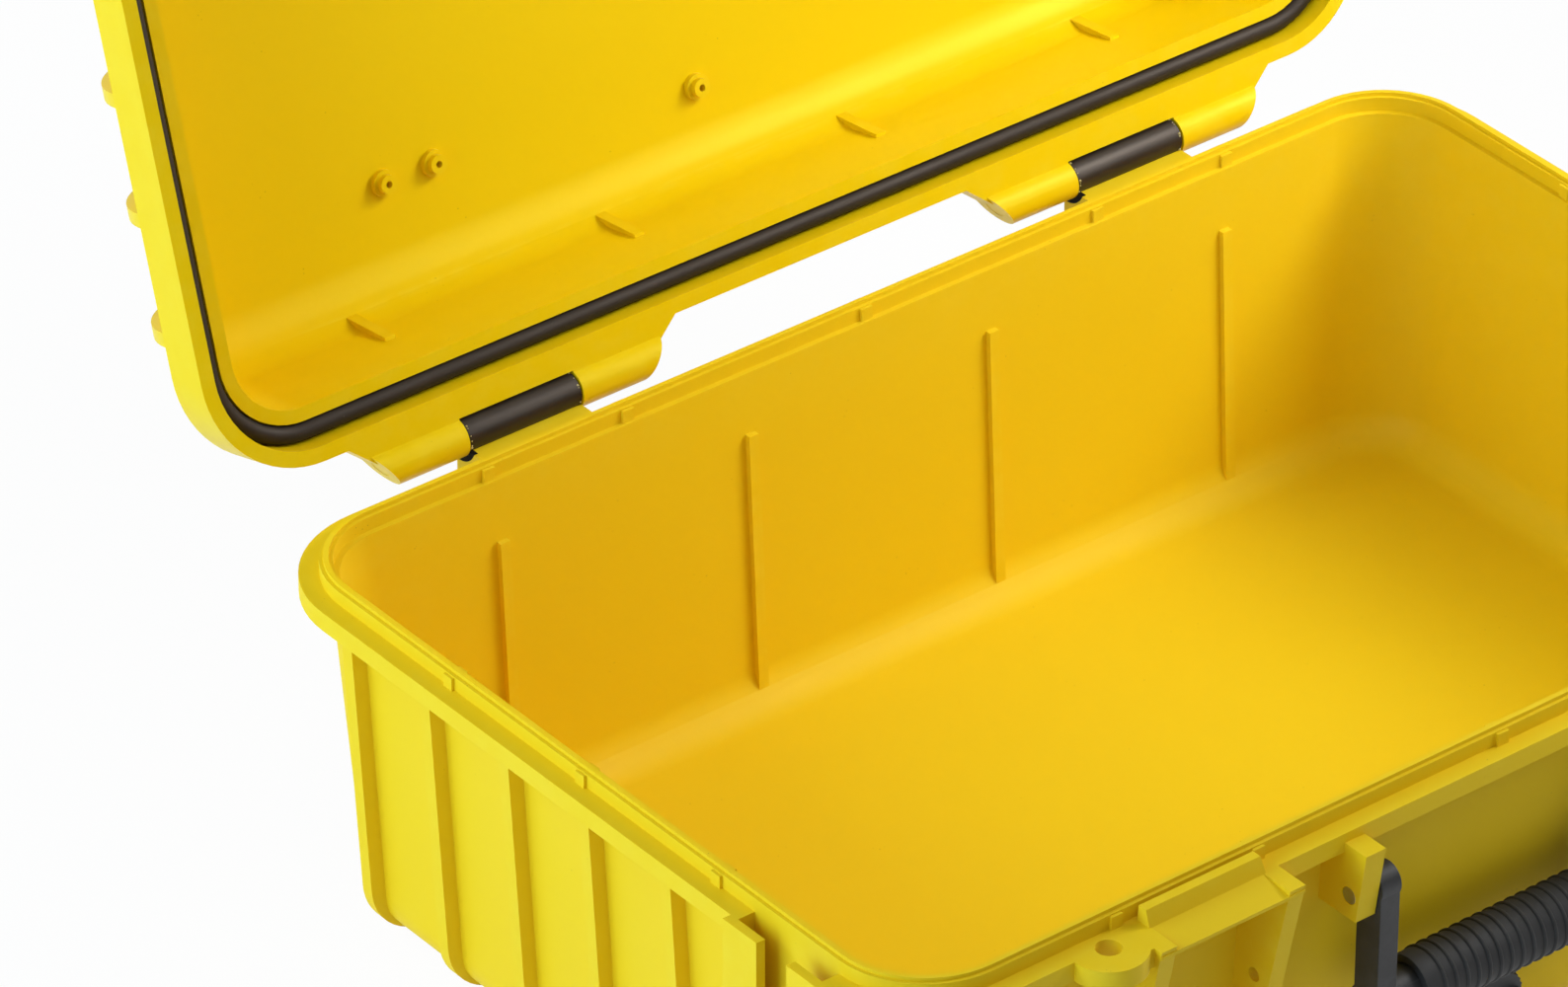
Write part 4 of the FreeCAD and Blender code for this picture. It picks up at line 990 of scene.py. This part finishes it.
@dataclass
class HingeTrim:
    """Small trim of the hinges: plugs over the pins' ends, black lips below the bushes that are partly
    painted shade of the gap there, and flash.
    """

    shop: Workshop
    palette: Palette
    growth: Growth
    place: float = 128.6 * MM
    pin_half: float = 49.7 * MM
    pin_gap: float = 0.1 * MM
    gap_half: float = 23.3 * MM
    side_gap: float = 0.4 * MM
    bore: float = 3.04 * MM
    recess: float = 0.15 * MM
    root: float = 164.6 * MM
    flap_half: float = 64.1 * MM
    flap_slope: float = 0.7094
    root_half: float = 69.1 * MM
    root_slope: float = 1.183
    bush: float = 6.2 * MM
    lip: float = 8.8 * MM
    lip_width: float = 1.4 * MM
    lip_overlap: float = 0.1 * MM
    lip_start: float = 197.0
    lip_turn: float = 80.0
    cradle_top: float = 131.05 * MM
    steps: int = 32
    flash_count: int = 44
    flash_lift: float = 0.08 * MM
    flash_inset: float = 0.7 * MM
    flash_share: float = 0.3
    flash_speck: float = 0.34 * MM
    flash_seed: int = 5

    def build(self) -> None:
        """Make the plugs, the lips and the specks of flash."""
        work = bmesh.new()
        for side in Side:
            for end in Side:
                self._plug(work, side.value * self.place, end.value)
        plugs = self._piece("hinge_pin_plugs", work, self.palette.lid, LID_SWING.matrix())
        self.shop.settle(plugs, "lid", Slot.SHELL)
        # Black lips below the bushes, partly painted shade of the gap between knuckle and cradle.
        work = bmesh.new()
        for side in Side:
            self._lip(work, side.value * self.place - self.gap_half + self.side_gap)
        lips = self._piece("hinge_bush_lips", work, self.palette.lip, Matrix())
        self.shop.settle(lips, "base", Slot.BUSH)
        middle = Matrix.Translation((0.0, LID_SWING.back, LID_SWING.height))
        length = 2 * (self.gap_half - self.side_gap - self.flash_inset)
        flash = self.shop.grow("hinge_bush_flash", self.growth.specks, self.palette.flash, middle,
                               Count=self.flash_count, Bar=self.bush + self.flash_lift, Length=length,
                               Spread=2 * self.place, Share=self.flash_share, Speck=self.flash_speck,
                               Seed=self.flash_seed)
        self.shop.settle(flash, "base", Slot.BUSH)

    def _reach(self, back: float) -> float:
        """Give how far the slanted end of the flap stands from the hinge's middle.

        Args:
            back: Place along the case's depth.

        Returns:
            The distance along the hinge.
        """
        depth = back - self.root
        flap = self.flap_half - self.flap_slope * depth
        root = self.root_half - self.root_slope * depth
        return max(flap, root) - self.recess

    def _plug(self, work: bmesh.types.BMesh, middle: float, end: int) -> None:
        """Add a plug that closes one end of a pin's bore, cut along the flap's slant.

        Args:
            work: Mesh that gets the plug.
            middle: Middle of the hinge.
            end: Which end, -1 or 1.
        """
        inner, outer = [], []
        start = middle + end * (self.pin_half + self.pin_gap)
        for step in range(self.steps):
            angle = math.tau * step / self.steps
            back = LID_SWING.back + self.bore * math.cos(angle)
            height = LID_SWING.height + self.bore * math.sin(angle)
            inner.append(work.verts.new((start, back, height)))
            outer.append(work.verts.new((middle + end * self._reach(back), back, height)))
        tip = middle + end * self._reach(LID_SWING.back)
        centre = work.verts.new((tip, LID_SWING.back, LID_SWING.height))
        for step in range(self.steps):
            following = (step + 1) % self.steps
            work.faces.new((inner[step], inner[following], outer[following], outer[step]))
            work.faces.new((outer[step], outer[following], centre))
        work.faces.new(inner)

    def _lip(self, work: bmesh.types.BMesh, start: float) -> None:
        """Add the black lip below a bush's left end, let into the base's cradle; it stands for the
        bush's end flange and is partly painted shade of the gap between knuckle and cradle.

        Args:
            work: Mesh that gets the lip.
            start: Left end of the bush.
        """
        rings = []
        count = self.steps // 2
        for along in (start - self.lip_overlap, start + self.lip_width):
            for radius in (self.bush, self.lip):
                ring = []
                for step in range(count + 1):
                    angle = math.radians(self.lip_start + self.lip_turn * step / count)
                    back = LID_SWING.back + radius * math.cos(angle)
                    height = min(LID_SWING.height + radius * math.sin(angle), self.cradle_top)
                    ring.append(work.verts.new((along, back, height)))
                rings.append(ring)
        near_in, near_out, far_in, far_out = rings
        around = (near_in, near_out, far_out, far_in)
        for first, second in zip(around, around[1:] + around[:1]):
            for step in range(count):
                work.faces.new((first[step], first[step + 1], second[step + 1], second[step]))
        for step in (0, -1):
            work.faces.new((near_in[step], near_out[step], far_out[step], far_in[step]))

    def _piece(self, name: str, work: bmesh.types.BMesh, material: Material,
               place: Matrix) -> Piece:
        """Turn a work mesh into a shaded piece.

        Args:
            name: Name of the piece.
            work: Its mesh, which is freed.
            material: Its finish.
            place: Where it goes.

        Returns:
            The new piece.
        """
        bmesh.ops.recalc_face_normals(work, faces=work.faces)
        mesh = bpy.data.meshes.new(name)
        work.to_mesh(mesh)
        work.free()
        mesh.transform(place)
        piece = self.shop.add(name, mesh, material)
        self.shop.shade(piece)
        self.shop.mark_edges(piece.data)
        return piece


@dataclass
class Fittings:
    """Black and steel pieces, each a softened copy of its node."""

    shop: Workshop
    palette: Palette
    edge: float = 0.4 * MM

    def build(self) -> None:
        """Make every fitting."""
        palette = self.palette
        single = (
            ("handle_bail", "handle", Slot.HANDLE, palette.fitting),
            ("handle_grip", "handle", Slot.GRIP, palette.grip),
            ("valve_body", "base", Slot.HANDLE, palette.fitting),
            ("valve_washer", "base", Slot.SEAL, palette.seal),
            ("valve_nut", "base", Slot.HANDLE, palette.fitting),
            ("valve_knob", "valve_knob", Slot.HANDLE, palette.fitting),
            ("valve_seal", "valve_knob", Slot.SEAL, palette.seal),
        )
        for node, body, slot, material in single:
            self._one(node, body, slot, material)
        for side in Side:
            word = side.word
            self._one(f"hinge_bush_{word}", "base", Slot.BUSH, palette.bush)
            self._one(f"hinge_pin_{word}", "base", Slot.PIN, palette.steel)
            self._one(f"handle_pin_{word}", "base", Slot.PIN, palette.steel)
            self._one(f"latch_pin_{word}", "lid", Slot.PIN, palette.steel)
            self._one(f"latch_{word}", f"latch_{word}", Slot.LATCH, palette.fitting)

    def _one(self, node: str, body: str, slot: Slot, material: Material) -> None:
        """Make one fitting from its node.

        Args:
            node: CAD node.
            body: Body that it rides on.
            slot: Its record slot.
            material: Its finish.
        """
        piece = self.shop.softened(f"{node}_piece", node, material, self.edge)
        self.shop.settle(piece, body, slot, node)


@dataclass(frozen=True)
class Lamp:
    """A square soft lamp, if need be with a grid that narrows its light to an angle in degrees."""

    name: str
    place: Point
    aim: Point
    size: float
    watts: float
    tint: Point = (1.0, 1.0, 1.0)
    spread: float = 180.0

    def hang(self) -> None:
        """Hang the lamp where it faces its aim."""
        light = bpy.data.lights.new(self.name, "AREA")
        light.shape = "SQUARE"
        light.size = self.size
        light.energy = self.watts
        light.color = self.tint
        light.spread = math.radians(self.spread)
        lamp = bpy.data.objects.new(self.name, light)
        lamp.location = self.place
        lamp.visible_camera = False
        way = Vector(self.aim) - Vector(self.place)
        lamp.rotation_euler = way.to_track_quat("-Z", "Y").to_euler()
        bpy.context.scene.collection.objects.link(lamp)


MIDDLE: Point = (0.0, 0.05, 0.15)
LAMPS = (
    Lamp("key_right", (0.36, -0.3, 0.42), (0.05, 0.12, 0.14), 0.26, 1.1),
    Lamp("lid_right", (0.66, -0.14, 0.74), (0.14, 0.31, 0.3), 0.4, 1.75, spread=85.0),
    Lamp("low_left", (-1.7, 0.1, 0.6), MIDDLE, 1.4, 24.0, (0.56, 0.79, 1.0)),
    Lamp("rim_left", (-1.0, 0.75, 0.95), (-0.15, 0.0, 0.13), 0.8, 7.4, (0.72, 0.88, 1.0)),
    Lamp("fill_top", (0.1, -0.2, 2.2), MIDDLE, 1.8, 3.4),
)


@dataclass
class Studio:
    """Pale floor, soft light and the photograph's camera."""

    width_px: float = 1588.0
    focal_px: float = 10246.35
    azimuth: float = -38.45
    elevation: float = 33.33
    distance: float = 3.25094
    aside: float = -0.12364
    above: float = 0.00619
    rim_height: float = 0.134
    sensor: float = 36.0
    view_end: float = 50.0
    floor_half: float = 6.0
    floor_colour: RGBA = (0.9, 0.9, 0.9, 1.0)
    floor_roughness: float = 0.7
    floor_white: float = 0.95
    mirror_edge: float = 0.4
    mirror_dim: float = 0.3
    surround: float = 0.2

    def build(self) -> None:
        """Make the floor, the lamps, the world and the camera."""
        self._floor()
        for lamp in LAMPS:
            lamp.hang()
        self._world()
        self._camera()
        bpy.context.scene.view_settings.view_transform = "Standard"

    def _floor(self) -> None:
        """Lay a pale floor that keeps the object's shadow."""
        work = bmesh.new()
        bmesh.ops.create_grid(work, x_segments=1, y_segments=1, size=self.floor_half)
        mesh = bpy.data.meshes.new("pale_floor")
        work.to_mesh(mesh)
        work.free()
        material, nodes = blank_material("pale_floor")
        shader = nodes.add("ShaderNodeBsdfPrincipled")
        nodes.feed(shader, Base_Color=self.floor_colour, Roughness=self.floor_roughness)
        glow = nodes.feed(nodes.add("ShaderNodeEmission"), Color=WHITE)
        blend = nodes.add("ShaderNodeMixShader")
        seen = nodes.math("MAXIMUM", *self._rays(nodes))
        for number, value in enumerate((nodes.math("MULTIPLY", seen, self.floor_white),
                                        shader.outputs["BSDF"], glow.outputs["Emission"])):
            nodes.put(blend.inputs[number], value)
        nodes.surface(blend.outputs["Shader"])
        floor = bpy.data.objects.new("pale_floor", mesh)
        mesh.materials.append(material)
        bpy.context.scene.collection.objects.link(floor)

    def _rays(self, nodes: Nodes) -> tuple[Socket, Socket]:
        """Tell the camera's own rays, and those that it sees mirrored or through glass, from light."""
        path = nodes.add("ShaderNodeLightPath").outputs
        mirrored = nodes.math("MAXIMUM", path["Is Glossy Ray"], path["Is Transmission Ray"])
        return path["Is Camera Ray"], mirrored

    def _world(self) -> None:
        """Give a white backdrop, which mirrors white behind the case and dimmer in front of it."""
        world = bpy.data.worlds.new("white_surround")
        bpy.context.scene.world = world
        world.use_nodes = True
        nodes = Nodes(world.node_tree)
        camera, mirrored = self._rays(nodes)
        around = nodes.add("ShaderNodeTexCoord").outputs["Generated"]
        ahead = nodes.feed(nodes.add("ShaderNodeSeparateXYZ"), Vector=around).outputs["Y"]
        behind = nodes.ramp(ahead, -self.mirror_edge, self.mirror_edge)
        graded = nodes.math("MULTIPLY", behind, 1.0 - self.mirror_dim)
        graded = nodes.math("ADD", graded, self.mirror_dim)
        seen = nodes.math("MAXIMUM", camera, nodes.math("MULTIPLY", mirrored, graded))
        nodes.feed(world.node_tree.nodes["Background"], Color=WHITE,
                   Strength=nodes.math("MAXIMUM", seen, self.surround))

    def _camera(self) -> None:
        """Set the camera where the photograph was taken from."""
        turn, lift = math.radians(self.azimuth), math.radians(self.elevation)
        right = Vector((math.cos(turn), math.sin(turn), 0.0))
        level = Vector((math.sin(turn), -math.cos(turn), 0.0))
        back = level * math.cos(lift) + Vector((0.0, 0.0, math.sin(lift)))
        up = back.cross(right)
        lens = bpy.data.cameras.new("photo_camera")
        lens.sensor_width = self.sensor
        lens.lens = self.focal_px / self.width_px * self.sensor
        lens.clip_end = self.view_end
        camera = bpy.data.objects.new("photo_camera", lens)
        rim = Vector((0.0, 0.0, self.rim_height))
        place = right * self.aside + up * self.above + back * self.distance + rim
        turned = Matrix((right, up, back)).transposed().to_4x4()
        camera.matrix_world = Matrix.Translation(place) @ turned
        bpy.context.scene.collection.objects.link(camera)
        bpy.context.scene.camera = camera


def main() -> None:
    """Dress the case and set up its studio."""
    logging.basicConfig(level=logging.INFO, format="%(name)s: %(message)s")
    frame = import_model()
    shop = Workshop(frame)
    palette = Palette()
    growth = Growth()
    Shells(shop, palette).build()
    SealCord(shop, palette, growth).build()
    Fittings(shop, palette).build()
    HingeTrim(shop, palette, growth).build()
    GripTexture(shop, palette, growth).build()
    Studio().build()


if __name__ == "__main__":
    main()
